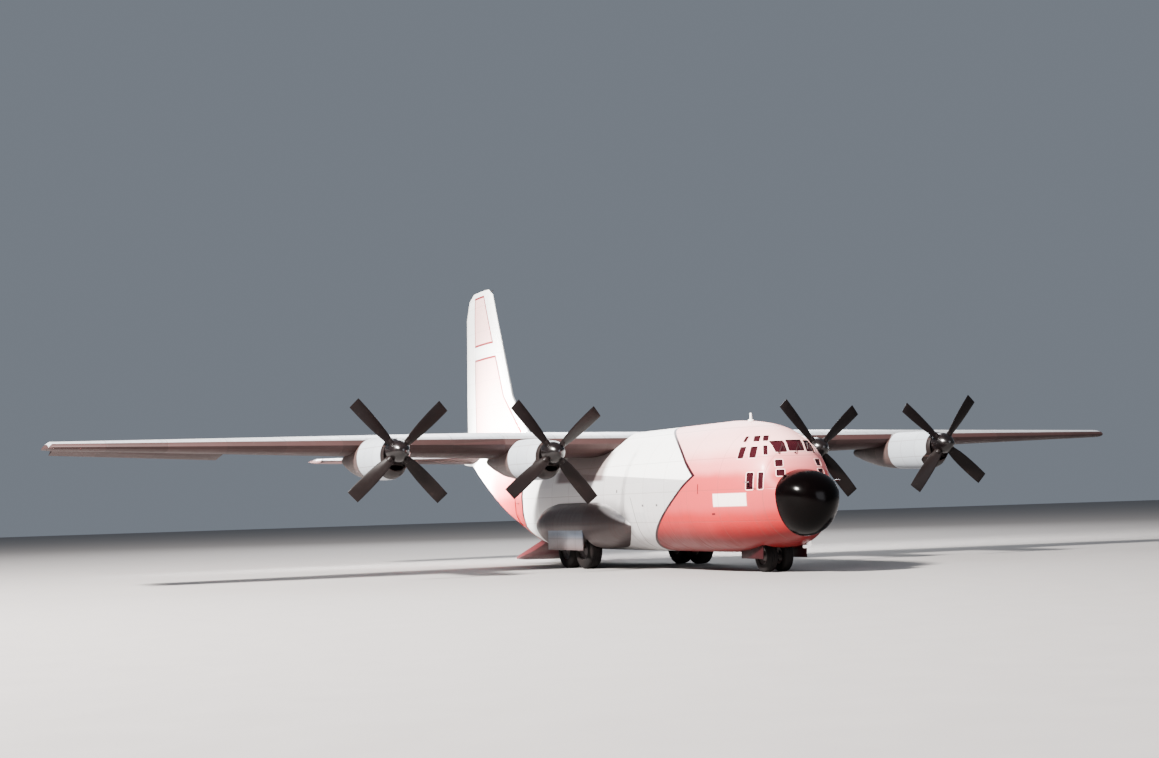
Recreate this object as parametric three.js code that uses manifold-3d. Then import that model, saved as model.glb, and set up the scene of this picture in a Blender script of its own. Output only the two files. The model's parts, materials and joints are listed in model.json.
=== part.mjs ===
// A four-engined, high-winged military transport plane, parked on its wheels with its loading ramp down.
// Sizes are those of the full-size aircraft, in millimetres, and the whole group is then halved.
// X runs to the aircraft's left (port), Y aft from the tip of the nose, and Z up from the ground.
import * as THREE from "three";
import { mergeVertices } from "three/addons/utils/BufferGeometryUtils.js";
import Module from "manifold-3d";

const wasm = await Module();
wasm.setup();

// Driving sizes
const modelScale = 0.5;
const overallLength = 29790;
const seatGap = 0.6; // between two pieces that touch
const runGap = 14; // around a piece that moves
const hullWall = 140;
const noseJointY = 1200;
const centerJointY = 4930;
const aftJointY = 17420;
const floorTopZ = 1040;
const floorThickness = 80;
const ringSides = 24;

const finishes = {
  red: finish(0xc8434a, 0.45, 0.1),
  silver: finish(0xb9bec4, 0.35, 0.7),
  metal: finish(0x8d9094, 0.4, 0.8),
  dark: finish(0x1d1615, 0.4, 0.3),
  black: finish(0x0c0b0c, 0.2, 0.0),
  rubber: finish(0x17181a, 0.85, 0.0),
  glass: finish(0x2a1a1f, 0.1, 0.0),
  inside: finish(0x6e7a6c, 0.7, 0.0),
  seat: finish(0x4c5342, 0.8, 0.0),
};

function finish(color, roughness, metalness) {
  return new THREE.MeshStandardMaterial({ color, roughness, metalness });
}

const group = new THREE.Group();
group.scale.setScalar(modelScale);
group.position.y = (-overallLength / 2) * modelScale;

const vec = (x, y, z) => new THREE.Vector3(x, y, z);
const radians = THREE.MathUtils.degToRad;

// Geometry and solids
function toSolid(shape) {
  if (!shape.isBufferGeometry) return shape;
  const bare = shape.index ? shape.toNonIndexed() : shape.clone();
  bare.deleteAttribute("normal");
  bare.deleteAttribute("uv");
  const merged = mergeVertices(bare, 1e-3);
  const mesh = new wasm.Mesh({
    numProp: 3,
    vertProperties: merged.attributes.position.array,
    triVerts: new Uint32Array(merged.index.array),
  });
  return new wasm.Manifold(mesh);
}

function toGeometry(shape) {
  if (shape.isBufferGeometry) return shape;
  const mesh = shape.getMesh();
  const positions = new Float32Array(mesh.triVerts.length * 3);
  mesh.triVerts.forEach((vertex, corner) => {
    for (let axis = 0; axis < 3; axis += 1) {
      positions[corner * 3 + axis] = mesh.vertProperties[vertex * mesh.numProp + axis];
    }
  });
  const geometry = new THREE.BufferGeometry();
  geometry.setAttribute("position", new THREE.BufferAttribute(positions, 3));
  return geometry;
}

function joined(...shapes) {
  return shapes.map(toSolid).reduce((whole, shape) => whole.add(shape));
}

function cut(shape, ...tools) {
  return tools.map(toSolid).reduce((whole, tool) => whole.subtract(tool), toSolid(shape));
}

function common(shape, tool) {
  return toSolid(shape).intersect(toSolid(tool));
}

function addPiece(name, shape, material) {
  const geometry = toGeometry(shape);
  geometry.computeVertexNormals();
  const mesh = new THREE.Mesh(geometry, material);
  mesh.name = name;
  group.add(mesh);
}

// Turns a geometry's faces round when they point inwards
function facingOut(geometry) {
  const positions = geometry.attributes.position;
  const corners = [vec(), vec(), vec()];
  let volume = 0;
  for (let i = 0; i < positions.count; i += 3) {
    corners.forEach((corner, k) => corner.fromBufferAttribute(positions, i + k));
    volume += corners[0].dot(corners[1].clone().cross(corners[2]));
  }
  if (volume > 0) return geometry;
  for (let i = 0; i < positions.count; i += 3) {
    corners.forEach((corner, k) => corner.fromBufferAttribute(positions, i + k));
    positions.setXYZ(i + 1, ...corners[2].toArray());
    positions.setXYZ(i + 2, ...corners[1].toArray());
  }
  return geometry;
}

function mirrored(shape) {
  const geometry = toGeometry(shape).clone();
  const bare = geometry.index ? geometry.toNonIndexed() : geometry;
  return facingOut(bare.applyMatrix4(new THREE.Matrix4().makeScale(-1, 1, 1)));
}

function addPair(name, portShape, material) {
  addPiece(`${name}_port`, portShape, material);
  addPiece(`${name}_starboard`, mirrored(portShape), material);
}

function capFaces(ring) {
  const normal = vec();
  ring.forEach((p, k) => normal.add(p.clone().cross(ring[(k + 1) % ring.length])));
  normal.normalize();
  const across = ring[1].clone().sub(ring[0]).normalize();
  const up = normal.clone().cross(across);
  const flat = ring.map((p) => new THREE.Vector2(p.dot(across), p.dot(up)));
  const ringArea = THREE.ShapeUtils.area(flat);
  return THREE.ShapeUtils.triangulateShape(flat, []).map(([a, b, c]) => {
    const sameWay = THREE.ShapeUtils.area([flat[a], flat[b], flat[c]]) * ringArea > 0;
    return sameWay ? [a, b, c] : [a, c, b];
  });
}

// A closed solid through flat rings that each have as many points. The quads left and right of X = 0
// are split along opposite diagonals, so that a symmetrical solid is its own mirror image.
function loft(rings) {
  const positions = [];
  const push = (...points) => points.forEach((p) => positions.push(p.x, p.y, p.z));
  const last = rings[rings.length - 1];
  for (let i = 0; i + 1 < rings.length; i += 1) {
    rings[i].forEach((p, k) => {
      const next = (k + 1) % rings[i].length;
      const [q, r, t] = [rings[i][next], rings[i + 1][k], rings[i + 1][next]];
      if (p.x + q.x + r.x + t.x > 0) push(p, t, q, p, r, t);
      else push(p, r, q, q, r, t);
    });
  }
  capFaces(rings[0]).forEach(([a, b, c]) => push(rings[0][a], rings[0][b], rings[0][c]));
  capFaces(last).forEach(([a, b, c]) => push(last[a], last[c], last[b]));
  const geometry = new THREE.BufferGeometry();
  geometry.setAttribute("position", new THREE.Float32BufferAttribute(positions, 3));
  return facingOut(geometry);
}

function block(low, high) {
  const size = vec(...high).sub(vec(...low));
  const geometry = new THREE.BoxGeometry(size.x, size.y, size.z);
  return geometry.translate(low[0] + size.x / 2, low[1] + size.y / 2, low[2] + size.z / 2);
}

function rod(from, to, radius, sides = 16, endRadius = radius) {
  const start = vec(...from);
  const run = vec(...to).sub(start);
  const geometry = new THREE.CylinderGeometry(endRadius, radius, run.length(), sides);
  geometry.translate(0, run.length() / 2, 0);
  geometry.applyQuaternion(new THREE.Quaternion().setFromUnitVectors(vec(0, 1, 0), run.normalize()));
  return geometry.translate(...start.toArray());
}

// A solid swept along X from a side outline of [y, z] points
function sideSlab(outline, fromX, toX) {
  return loft([fromX, toX].map((x) => outline.map(([y, z]) => vec(x, y, z))));
}

// Pins of the fixed piece at the ends of a hinge line, or, with some growth, their bores in what swings
const pinRadius = 25;
const pinRoot = 30;
const pinReach = 60;
const boreGap = 1;
const pinSides = 10;
function pinRod(from, to, radius) {
  return rod(from, to, radius, pinSides);
}
function boreRod(from, to, radius) {
  return rod(from, to, (radius + boreGap) / Math.cos(Math.PI / pinSides), pinSides);
}
function hingeEnds({ from, to }, grow, ends = ["from", "to"]) {
  const run = to.clone().sub(from).normalize();
  return ends.map((end) => {
    const [point, way] = end === "from" ? [from, run] : [to, run.clone().negate()];
    const root = point.clone().addScaledVector(way, -pinRoot).toArray();
    const tip = point.clone().addScaledVector(way, pinReach + grow).toArray();
    return grow > 0 ? boreRod(root, tip, pinRadius) : pinRod(root, tip, pinRadius);
  });
}
const hingePins = (hinge, ends) => hingeEnds(hinge, 0, ends);
const hingeBores = (hinge, ends) => hingeEnds(hinge, boreGap, ends);

// Joint lines, for whoever poses the model, in the sizes of this file
const jointLines = {};
group.userData.jointLines = jointLines;
function noteJoint(name, from, to) {
  jointLines[name] = { from: from.toArray(), to: to.toArray() };
}

// A table's row at a station, each column worked out between its neighbours
function rowAt(table, station) {
  const next = Math.max(1, table.findIndex((row, i) => i > 0 && row[0] >= station));
  const upper = next < 1 || station > table[table.length - 1][0] ? table.length - 1 : next;
  const [before, after] = [table[upper - 1], table[upper]];
  const share = (station - before[0]) / (after[0] - before[0]);
  return before.map((value, column) => value + (after[column] - value) * share);
}

// Turns a shape about a line through a point, by degrees
function turned(shape, point, axis, degrees) {
  const geometry = toGeometry(shape).clone();
  const pivot = vec(...point);
  geometry.translate(...pivot.clone().negate().toArray());
  const way = vec(...axis).normalize();
  geometry.applyQuaternion(new THREE.Quaternion().setFromAxisAngle(way, radians(degrees)));
  return geometry.translate(...pivot.toArray());
}

// Hull: y, half width, top, bottom, height of the widest line, and the power of the curve of its
// lower half, which is an ellipse at 2 and grows squarer from there
const hullStations = [
  [1200, 950, 3060, 1080, 2340, 2],
  [1380, 1090, 3500, 1000, 2340, 2.07],
  [1650, 1270, 3960, 910, 2340, 2.2],
  [2100, 1520, 4200, 790, 2350, 2.4],
  [2700, 1760, 4420, 690, 2390, 2.6],
  [3500, 1980, 4580, 620, 2460, 2.8],
  [4500, 2130, 4680, 590, 2520, 2.8],
  [4930, 2160, 4700, 580, 2540, 2.8],
  [17420, 2160, 4700, 580, 2540, 2.8],
  [19000, 2140, 4700, 1240, 2650, 3.6],
  [20800, 2040, 4720, 1980, 2900, 4.4],
  [22500, 1860, 4730, 2750, 3200, 4.4],
  [24000, 1640, 4730, 3350, 3550, 3.8],
  [25500, 1330, 4720, 3780, 3950, 3],
  [27500, 880, 4680, 4030, 4280, 2.4],
  [29200, 480, 4590, 4080, 4350, 2],
  [29790, 300, 4520, 4120, 4350, 2],
];

function hullRing(y, inset = 0) {
  const [, halfWidth, top, bottom, waist, squareness] = rowAt(hullStations, y);
  return Array.from({ length: ringSides }, (_, k) => {
    const angle = (k / ringSides) * 2 * Math.PI;
    const [c, s] = [Math.cos(angle), Math.sin(angle)];
    const power = s < 0 ? 2 / squareness : 1;
    const x = Math.sign(c) * Math.abs(c) ** power * (halfWidth - inset);
    const rise = s < 0 ? bottom - waist + inset : top - waist - inset;
    return vec(x, y, waist + Math.abs(s) ** power * rise);
  });
}

const insetHullEndY = 27500; // aft of this the hull is too thin to be hollow

function hull(fromY, toY, inset = 0) {
  const rows = hullStations.filter((row) => inset <= 0 || row[0] <= insetHullEndY);
  const whole = loft(rows.map((row) => hullRing(row[0], inset)));
  return common(whole, block([-3000, fromY, 0], [3000, toY, 6000]));
}

// Wings and tail surfaces: place along the span, leading edge y, chord, thickness ratio,
// height of the quarter chord, and incidence in degrees
const wingStations = [
  [0, 10900, 4880, 0.18, 4200, 3],
  [5590, 10900, 4880, 0.18, 4230, 3],
  [20100, 11515, 2420, 0.12, 4420, 0],
  [20205, 11700, 1960, 0.07, 4420, 0],
];
const tailplaneStations = [
  [0, 24900, 4200, 0.12, 4320, 0],
  [7900, 25450, 2000, 0.1, 4320, 0],
  [8025, 25620, 1620, 0.06, 4320, 0],
];
const chordShares = [1, 0.9, 0.76, 0.62, 0.48, 0.36, 0.25, 0.15, 0.07, 0.02];

function halfThickness(share, ratio) {
  const curve = 0.2969 * Math.sqrt(share) - 0.126 * share - 0.3516 * share ** 2;
  return 5 * ratio * (curve + 0.2843 * share ** 3 - 0.1015 * share ** 4);
}

// Wings and the tailplane lie flat, so a station's x is its place along the span; the fin stands up
function stationAt(table, place) {
  const [, leading, chord, ratio, height, incidence] = rowAt(table, Math.abs(place));
  return { place, leading, chord, ratio, height, incidence };
}

function flatPoint({ place, leading, chord, height, incidence }, along, up) {
  const [c, s] = [Math.cos(radians(incidence)), Math.sin(radians(incidence))];
  const aft = along - chord / 4;
  return vec(place, leading + chord / 4 + aft * c + up * s, height + up * c - aft * s);
}

function uprightPoint({ place, leading }, along, up) {
  return vec(up, leading + along, place);
}

function camberAt(share, camber) {
  return 4 * camber * share * (1 - share);
}

function surfaceRing(table, place, camber, grow, pointAt) {
  const station = stationAt(table, place);
  const { chord, ratio } = station;
  const skin = (share, side) => {
    const along = share * (chord + 2 * grow) - grow;
    const up = camberAt(share, camber) * chord + side * (halfThickness(share, ratio) * chord + grow);
    return pointAt(station, along, up);
  };
  const upper = chordShares.map((share) => skin(share, 1));
  const lower = [...chordShares].reverse().map((share) => skin(share, -1));
  return [...upper, pointAt(station, -grow, 0), ...lower];
}

function surface(table, from, to, { camber = 0, grow = 0, pointAt = flatPoint } = {}) {
  const places = [...new Set(table.flatMap((row) => [row[0], -row[0]]))].sort((a, b) => a - b);
  const between = places.filter((place) => place > from + 1 && place < to - 1);
  return loft([from, ...between, to].map((place) => surfaceRing(table, place, camber, grow, pointAt)));
}

// Flight deck windows of the port side, which the starboard side mirrors: heading of the way out in
// degrees from straight ahead, from and to along the pane, low and high edge, forward lean of the low
// edge, and how far out the pane lies along its heading
const windowTable = [
  [0, 330, 680, 3580, 3930, 0, -1600],
  [45, 1790, 1930, 3510, 3800, 60, -690],
  [60, 2240, 2480, 3440, 3780, 40, -120],
  [62, 2680, 2900, 3430, 3785, 0, -30],
  [50, 1930, 2110, 3935, 4110, 50, -860],
  [58, 2300, 2510, 3935, 4110, 50, -550],
  [62, 2770, 2890, 3930, 4110, 0, -340],
  [25, 1080, 1310, 3155, 3355, 0, -990],
  [30, 1120, 1360, 2870, 3060, 0, -840],
  [60, 2230, 2470, 2500, 3000, 0, 210],
  [55, 1910, 2080, 2500, 3000, 0, 30],
];
const centerWindow = [0, -270, 270, 3610, 3950, 0, -1500];

function windowPrism([heading, from, to, low, high, lean, out], shrink, depth) {
  const way = vec(Math.sin(radians(heading)), -Math.cos(radians(heading)), 0);
  const along = vec(Math.cos(radians(heading)), Math.sin(radians(heading)), 0);
  const corner = (u, z, t) => vec(0, 0, z).addScaledVector(along, u).addScaledVector(way, t);
  const ringAt = (t) => [
    corner(from + shrink, low + shrink, t),
    corner(to - shrink, low + shrink, t),
    corner(to - shrink + lean, high - shrink, t),
    corner(from + shrink + lean, high - shrink, t),
  ];
  return loft([ringAt(out - depth), ringAt(out + 400)]);
}

function windowCutters(shrink, depth) {
  const port = windowTable.map((row) => windowPrism(row, shrink, depth));
  return [windowPrism(centerWindow, shrink, depth), ...port, ...port.map(mirrored)];
}

// Nose: radome, hull with its windows, door way and wheel well, and what shows through the glass
const radomeDepthPower = 2.2;
const radomeTipZ = 2090;
function radomeRing(y) {
  const share = (1 - (1 - y / noseJointY) ** radomeDepthPower) ** (1 / radomeDepthPower);
  const center = vec(0, y, radomeTipZ);
  return hullRing(noseJointY).map((p) => {
    return vec(p.x, y, p.z).sub(center).multiplyScalar(Math.max(share, 0.02)).add(center);
  });
}
const radomeShares = [0, 0.04, 0.12, 0.25, 0.42, 0.62, 0.82];
addPiece("radome", loft([
  ...radomeShares.map((share) => radomeRing(share * noseJointY)),
  radomeRing(noseJointY - seatGap),
]), finishes.black);

const noseBulkheadY = noseJointY + 120;
const linerThickness = 25;
const linerAftY = 3000;
const noseWell = { halfWidth: 720, fromY: 2310, toY: 3750, topZ: 1300 };
const crewDoor = { fromY: 3450, toY: 4250, bottomZ: 960, topZ: 2400 };
const crewDoorCutter = (gap) => block(
  [1250, crewDoor.fromY + gap, crewDoor.bottomZ + gap],
  [2500, crewDoor.toY - gap, crewDoor.topZ - gap],
);
const noseShell = cut(
  hull(noseJointY, centerJointY - seatGap),
  hull(noseBulkheadY, centerJointY + hullWall, hullWall),
);
const doorHinge = { x: 1590, z: 975, radius: 25, pinRadius: 12, pinLength: 60, armFromX: 1440 };
const crewLine = (y) => [doorHinge.x, y, doorHinge.z];
const crewPin = (y, way, shape) => shape(
  crewLine(y - way * doorHinge.pinLength),
  crewLine(y + way * doorHinge.pinLength),
  doorHinge.pinRadius,
);
const crewPins = (shape) => [crewPin(crewDoor.fromY, 1, shape), crewPin(crewDoor.toY, -1, shape)];
const crewBracket = (y) => block(
  [doorHinge.armFromX, y, doorHinge.z - doorHinge.radius],
  [doorHinge.x + doorHinge.radius, y + 40, doorHinge.z + doorHinge.radius],
);
addPiece("fuselage_nose", joined(
  cut(
    noseShell,
    ...windowCutters(0, 300),
    crewDoorCutter(0),
    block([-noseWell.halfWidth, noseWell.fromY, 0], [noseWell.halfWidth, noseWell.toY, noseWell.topZ]),
  ),
  crewBracket(crewDoor.fromY - 40),
  crewBracket(crewDoor.toY),
  ...crewPins(pinRod),
), finishes.red);
const doorEnds = [crewDoor.fromY + runGap, crewDoor.toY - runGap];
addPiece("crew_door", cut(
  joined(
    common(noseShell, crewDoorCutter(runGap)),
    block(
      [doorHinge.armFromX, doorEnds[0], doorHinge.z],
      [doorHinge.x, doorEnds[1], doorHinge.z + doorHinge.radius],
    ),
    rod(crewLine(doorEnds[0]), crewLine(doorEnds[1]), doorHinge.radius),
  ),
  ...crewPins(boreRod),
), finishes.red);
noteJoint("crew_door", vec(...crewLine(crewDoor.fromY)), vec(...crewLine(crewDoor.toY)));

const liner = cut(
  hull(noseBulkheadY + seatGap, linerAftY, hullWall + seatGap),
  hull(noseBulkheadY - hullWall, linerAftY + hullWall, hullWall + linerThickness),
  block([-3000, 0, 0], [3000, 5000, 2400]),
);
const glassShell = cut(
  hull(noseJointY + seatGap, linerAftY),
  hull(noseBulkheadY, linerAftY + hullWall, hullWall + linerThickness),
);
const panes = windowCutters(seatGap, hullWall + linerThickness).map((pane) => common(glassShell, pane));
addPiece("cockpit_glazing", joined(liner, ...panes), finishes.glass);

const deckTopZ = 2300;
const pedestal = { halfWidth: 230, fromY: 2050, toY: 2900, height: 420 };
const deckInset = hullWall + linerThickness + 2 * seatGap;
const deckHull = hull(noseBulkheadY + seatGap, centerJointY - 200, deckInset);
addPiece("flight_deck", joined(
  common(deckHull, block([-3000, 0, deckTopZ - floorThickness], [3000, 5000, deckTopZ])),
  block(
    [-pedestal.halfWidth, pedestal.fromY, deckTopZ - floorThickness],
    [pedestal.halfWidth, pedestal.toY, deckTopZ + pedestal.height],
  ),
), finishes.inside);
const panel = { halfWidth: 900, fromY: 1850, toY: 2010, bottomZ: 2850, topZ: 3420, footHalf: 220 };
addPiece("instrument_panel", joined(
  common(deckHull, block(
    [-panel.halfWidth, panel.fromY, panel.bottomZ],
    [panel.halfWidth, panel.toY, panel.topZ],
  )),
  block([-panel.footHalf, panel.fromY, deckTopZ + seatGap], [panel.footHalf, panel.toY, panel.bottomZ + 50]),
), finishes.inside);
// Seats: half width, from y, to y, from and to height above the flight deck
const seatX = 600;
const seatBlocks = [
  [60, 3100, 3300, 20, 400],
  [250, 2950, 3450, 380, 480],
  [240, 3380, 3500, 460, 1150],
];
const seatBase = block([-850, 2950, deckTopZ + seatGap], [850, 3450, deckTopZ + 40]);
const seats = [-seatX, seatX].flatMap((x) => seatBlocks.map(([half, fromY, toY, low, high]) => {
  return block([x - half, fromY, deckTopZ + low], [x + half, toY, deckTopZ + high]);
}));
addPiece("crew_seats", joined(seatBase, ...seats), finishes.seat);

// The hollow inside a surface, as a tool to cut it with, from one chord share to another at each end
function hollow(table, from, to, fromShares, toShares, wall, pointAt) {
  const places = table.map((row) => row[0]).filter((place) => place > from + 1 && place < to - 1);
  const steps = [0, 0.25, 0.5, 0.75, 1];
  return loft([from, ...places, to].map((place) => {
    const station = stationAt(table, place);
    const { chord, ratio } = station;
    const [fore, rear] = fromShares.map((share, i) => {
      return share + ((toShares[i] - share) * (place - from)) / (to - from);
    });
    const skin = (step, side) => {
      const share = rear + (fore - rear) * step;
      return pointAt(station, share * chord, side * (halfThickness(share, ratio) * chord - wall));
    };
    return [...steps.map((step) => skin(step, 1)), ...[...steps].reverse().map((step) => skin(step, -1))];
  }));
}

const trailingReach = 3500; // from a hinge line to past the trailing edge

// A hinged trailing edge: its two ends on the hinge line, the radius of its round nose at each, and
// how many degrees of lip are cut back above and below it so that it can swing
function hingeRing(point, radius, aft, up, lipUp, lipDown) {
  const reach = 3 * radius + 400;
  const at = (degrees, length) => point.clone()
    .addScaledVector(aft, length * Math.cos(radians(degrees)))
    .addScaledVector(up, length * Math.sin(radians(degrees)));
  const sweep = 180 - lipUp - lipDown;
  const nose = Array.from({ length: 9 }, (_, i) => at(90 + lipUp + (sweep * i) / 8, radius));
  return [
    point.clone().addScaledVector(aft, trailingReach).addScaledVector(up, reach),
    at(90 + lipUp, reach),
    ...nose,
    at(270 - lipDown, reach),
    point.clone().addScaledVector(aft, trailingReach).addScaledVector(up, -reach),
  ];
}

function hingeRegion({ from, to, radii, up, lips }, isOpening) {
  const run = to.clone().sub(from).normalize();
  const inward = isOpening ? 0 : runGap;
  const ends = [from.clone().addScaledVector(run, inward), to.clone().addScaledVector(run, -inward)];
  const grow = isOpening ? runGap : 0;
  const [lipUp, lipDown] = isOpening ? lips : [0, 0];
  const across = up.clone().cross(run).normalize();
  const aft = across.y < 0 ? across.negate() : across;
  const square = up.clone().addScaledVector(run, -up.dot(run)).normalize();
  return loft(ends.map((point, i) => hingeRing(point, radii[i] + grow, aft, square, lipUp, lipDown)));
}

// A point of a flat surface, whose skin runs straight from one row of its table to the next
function onSurface(table, x, share, heightShare) {
  const next = table.findIndex((row, i) => i > 0 && row[0] >= x);
  const [before, after] = [table[next - 1], table[next]].map((row) => {
    const station = stationAt(table, row[0]);
    return flatPoint(station, share * station.chord, heightShare(station) * station.chord);
  });
  return before.lerp(after, (x - before.x) / (after.x - before.x));
}

// A hinge line at a chord share of a flat surface
function flatHinge(table, fromX, toX, share, camber, lips) {
  const middle = camberAt(share, camber);
  const [from, to] = [fromX, toX].map((x) => onSurface(table, x, share, () => middle));
  const radii = [[fromX, from], [toX, to]].map(([x, point]) => {
    return onSurface(table, x, share, ({ ratio }) => middle + halfThickness(share, ratio)).distanceTo(point);
  });
  return { from, to, radii, up: vec(0, 0, 1), lips };
}

function flipped(point) {
  return point.clone().multiply(vec(-1, 1, 1));
}

// Wing
const wingCamber = 0.025;
const wingJointX = 5590;
const wingTipX = 20205;
const flapShare = 0.74;
const aileronShare = 0.72;
const flapLips = [0, 22];
const aileronLips = [12, 12];
const aileronRest = 14; // degrees that the port aileron rests up and the starboard one, linked to it, down
const wingOptions = { camber: wingCamber };
const innerFlap = flatHinge(wingStations, 2230, wingJointX - 40, flapShare, wingCamber, flapLips);
const outerFlap = flatHinge(wingStations, wingJointX + 40, 14300, flapShare, wingCamber, flapLips);
const aileron = flatHinge(wingStations, 14420, 19900, aileronShare, wingCamber, aileronLips);
const innerOpening = hingeRegion(innerFlap, true);
const wholeWing = surface(wingStations, -wingTipX, wingTipX, wingOptions);
const wingSeat = surface(wingStations, -wingTipX, wingTipX, { camber: wingCamber, grow: seatGap });
const centerWing = common(wholeWing, block([-wingJointX, 0, 0], [wingJointX, 20000, 6000]));
const outerWing = common(wholeWing, block([wingJointX + seatGap, 0, 0], [wingTipX, 20000, 6000]));
const innerPins = hingePins(innerFlap);
addPiece("wing_center", joined(
  cut(centerWing, innerOpening, mirrored(innerOpening)),
  ...innerPins,
  ...innerPins.map(mirrored),
), finishes.metal);
addPair("wing_outer", joined(
  cut(outerWing, hingeRegion(outerFlap, true), hingeRegion(aileron, true)),
  ...hingePins(outerFlap),
  ...hingePins(aileron),
), finishes.metal);
const trailingEdges = { flap_inner: innerFlap, flap_outer: outerFlap, aileron };
for (const [name, hinge] of Object.entries(trailingEdges)) {
  const wing = hinge === innerFlap ? centerWing : outerWing;
  const shape = cut(common(wing, hingeRegion(hinge, false)), ...hingeBores(hinge));
  const run = hinge.to.clone().sub(hinge.from).toArray();
  const rest = hinge === aileron ? aileronRest : 0;
  addPiece(`${name}_port`, turned(shape, hinge.from.toArray(), run, rest), finishes.metal);
  addPiece(`${name}_starboard`, mirrored(turned(shape, hinge.from.toArray(), run, -rest)), finishes.metal);
}
for (const [name, { from, to }] of Object.entries(trailingEdges)) {
  noteJoint(`${name}_port`, from, to);
  noteJoint(`${name}_starboard`, flipped(to), flipped(from));
}

// Hull amidships and the hold's floor
const wheelWell = { innerX: 1860, outerX: 2600, fromY: 11150, toY: 14370, topZ: 1560 };
const wellBlock = block(
  [wheelWell.innerX, wheelWell.fromY, 0],
  [wheelWell.outerX, wheelWell.toY, wheelWell.topZ],
);
const floorHalfWidth = 1560;
const floorFromY = 5200;
const rampHingeY = 17448;
const floorToY = rampHingeY - 54; // clear of the ramp's hinge barrel
const rampNotch = { halfWidth: 1485, bottomZ: 945, topZ: 1055 };
addPiece("fuselage_center", cut(
  hull(centerJointY, aftJointY - seatGap),
  hull(centerJointY - hullWall, aftJointY + hullWall, hullWall),
  block(
    [-rampNotch.halfWidth, floorToY, rampNotch.bottomZ],
    [rampNotch.halfWidth, aftJointY, rampNotch.topZ],
  ),
  wingSeat,
  wellBlock,
  mirrored(wellBlock),
), finishes.silver);
addPiece("cargo_floor", cut(common(
  hull(floorFromY, floorToY, hullWall + seatGap),
  block([-floorHalfWidth, 0, floorTopZ - floorThickness], [floorHalfWidth, 20000, floorTopZ]),
), wellBlock, mirrored(wellBlock)), finishes.inside);

// Hull aft, with the ramp, the cargo door above it and a door on each side
const ramp = {
  hingeY: rampHingeY,
  hingeZ: 1000,
  barrelRadius: 40,
  pinRadius: 22,
  frontY: 17455,
  frontDepth: 700,
  length: 3220,
  tipDepth: 400,
  tipReach: 60,
  halfWidth: 1470,
  swing: 31.5,
  rise: 17.5,
};
const cargoDoor = {
  frontY: 20650,
  aftY: 24800,
  frontHalf: 1470,
  aftHalf: 1050,
  wall: 120,
  hingeY: 24850,
  hingeZ: 3850,
  pinRadius: 22,
  swing: 21.5,
};
const sideDoor = { fromY: 18000, toY: 18900, bottomZ: 1500, topZ: 3200 };
const doorEdge = 30;
const pressureWallY = 26400;
const aftWall = 80;
const aftShell = cut(
  hull(aftJointY, 29790),
  hull(aftJointY - hullWall, pressureWallY, aftWall),
);
function bellyRing(y, halfWidth, topZ) {
  return [vec(-halfWidth, y, 0), vec(halfWidth, y, 0), vec(halfWidth, y, topZ), vec(-halfWidth, y, topZ)];
}
const bellyOpening = loft([
  bellyRing(aftJointY - 10, ramp.halfWidth + doorEdge, 1500),
  bellyRing(cargoDoor.frontY - 20, cargoDoor.frontHalf + doorEdge, 2850),
  bellyRing(cargoDoor.aftY + doorEdge, cargoDoor.aftHalf + doorEdge, 3820),
]);
const sideDoorBlock = (gap) => block(
  [1200, sideDoor.fromY + gap, sideDoor.bottomZ + gap],
  [2500, sideDoor.toY - gap, sideDoor.topZ - gap],
);
const rampLine = (x) => [x, ramp.hingeY, ramp.hingeZ];
const rampPin = { rootX: ramp.halfWidth + 130, tipX: ramp.halfWidth - 90 };
const portRampPin = pinRod(rampLine(rampPin.rootX), rampLine(rampPin.tipX), ramp.pinRadius);
const portRampBore = boreRod(rampLine(rampPin.rootX), rampLine(rampPin.tipX - boreGap), ramp.pinRadius);
const doorLine = (x) => [x, cargoDoor.hingeY, cargoDoor.hingeZ];
const doorLug = { innerX: 290, outerX: 350 };
const doorBracket = { innerX: 365, outerX: 425, lowZ: 3600 };
const doorHingeBracket = block(
  [doorBracket.innerX, cargoDoor.hingeY - 15, doorBracket.lowZ],
  [doorBracket.outerX, cargoDoor.hingeY + 55, cargoDoor.hingeZ + 35],
);
addPiece("fuselage_aft", joined(
  cut(aftShell, bellyOpening, sideDoorBlock(0), mirrored(sideDoorBlock(0))),
  portRampPin,
  mirrored(portRampPin),
  doorHingeBracket,
  mirrored(doorHingeBracket),
  pinRod(doorLine(-doorBracket.outerX), doorLine(doorBracket.outerX), cargoDoor.pinRadius),
), finishes.red);
addPair("paratroop_door", common(aftShell, sideDoorBlock(seatGap)), finishes.red);

const rampRise = radians(ramp.rise);
const rampTip = {
  y: ramp.frontY + ramp.length * Math.cos(rampRise),
  z: floorTopZ + ramp.length * Math.sin(rampRise),
};
const rampSide = [
  [ramp.frontY, floorTopZ],
  [rampTip.y, rampTip.z],
  [rampTip.y + ramp.tipReach, rampTip.z - ramp.tipDepth],
  [
    ramp.frontY + ramp.frontDepth * Math.sin(radians(ramp.swing)),
    floorTopZ - ramp.frontDepth * Math.cos(radians(ramp.swing)),
  ],
];
const closedRamp = cut(
  joined(
    common(hull(aftJointY, 22000), sideSlab(rampSide, -ramp.halfWidth, ramp.halfWidth)),
    rod(rampLine(-ramp.halfWidth), rampLine(ramp.halfWidth), ramp.barrelRadius),
  ),
  portRampBore,
  mirrored(portRampBore),
);
addPiece("ramp", turned(closedRamp, rampLine(0), [1, 0, 0], -ramp.swing), finishes.red);
noteJoint("ramp", vec(...rampLine(0)), vec(...rampLine(1)));

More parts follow.
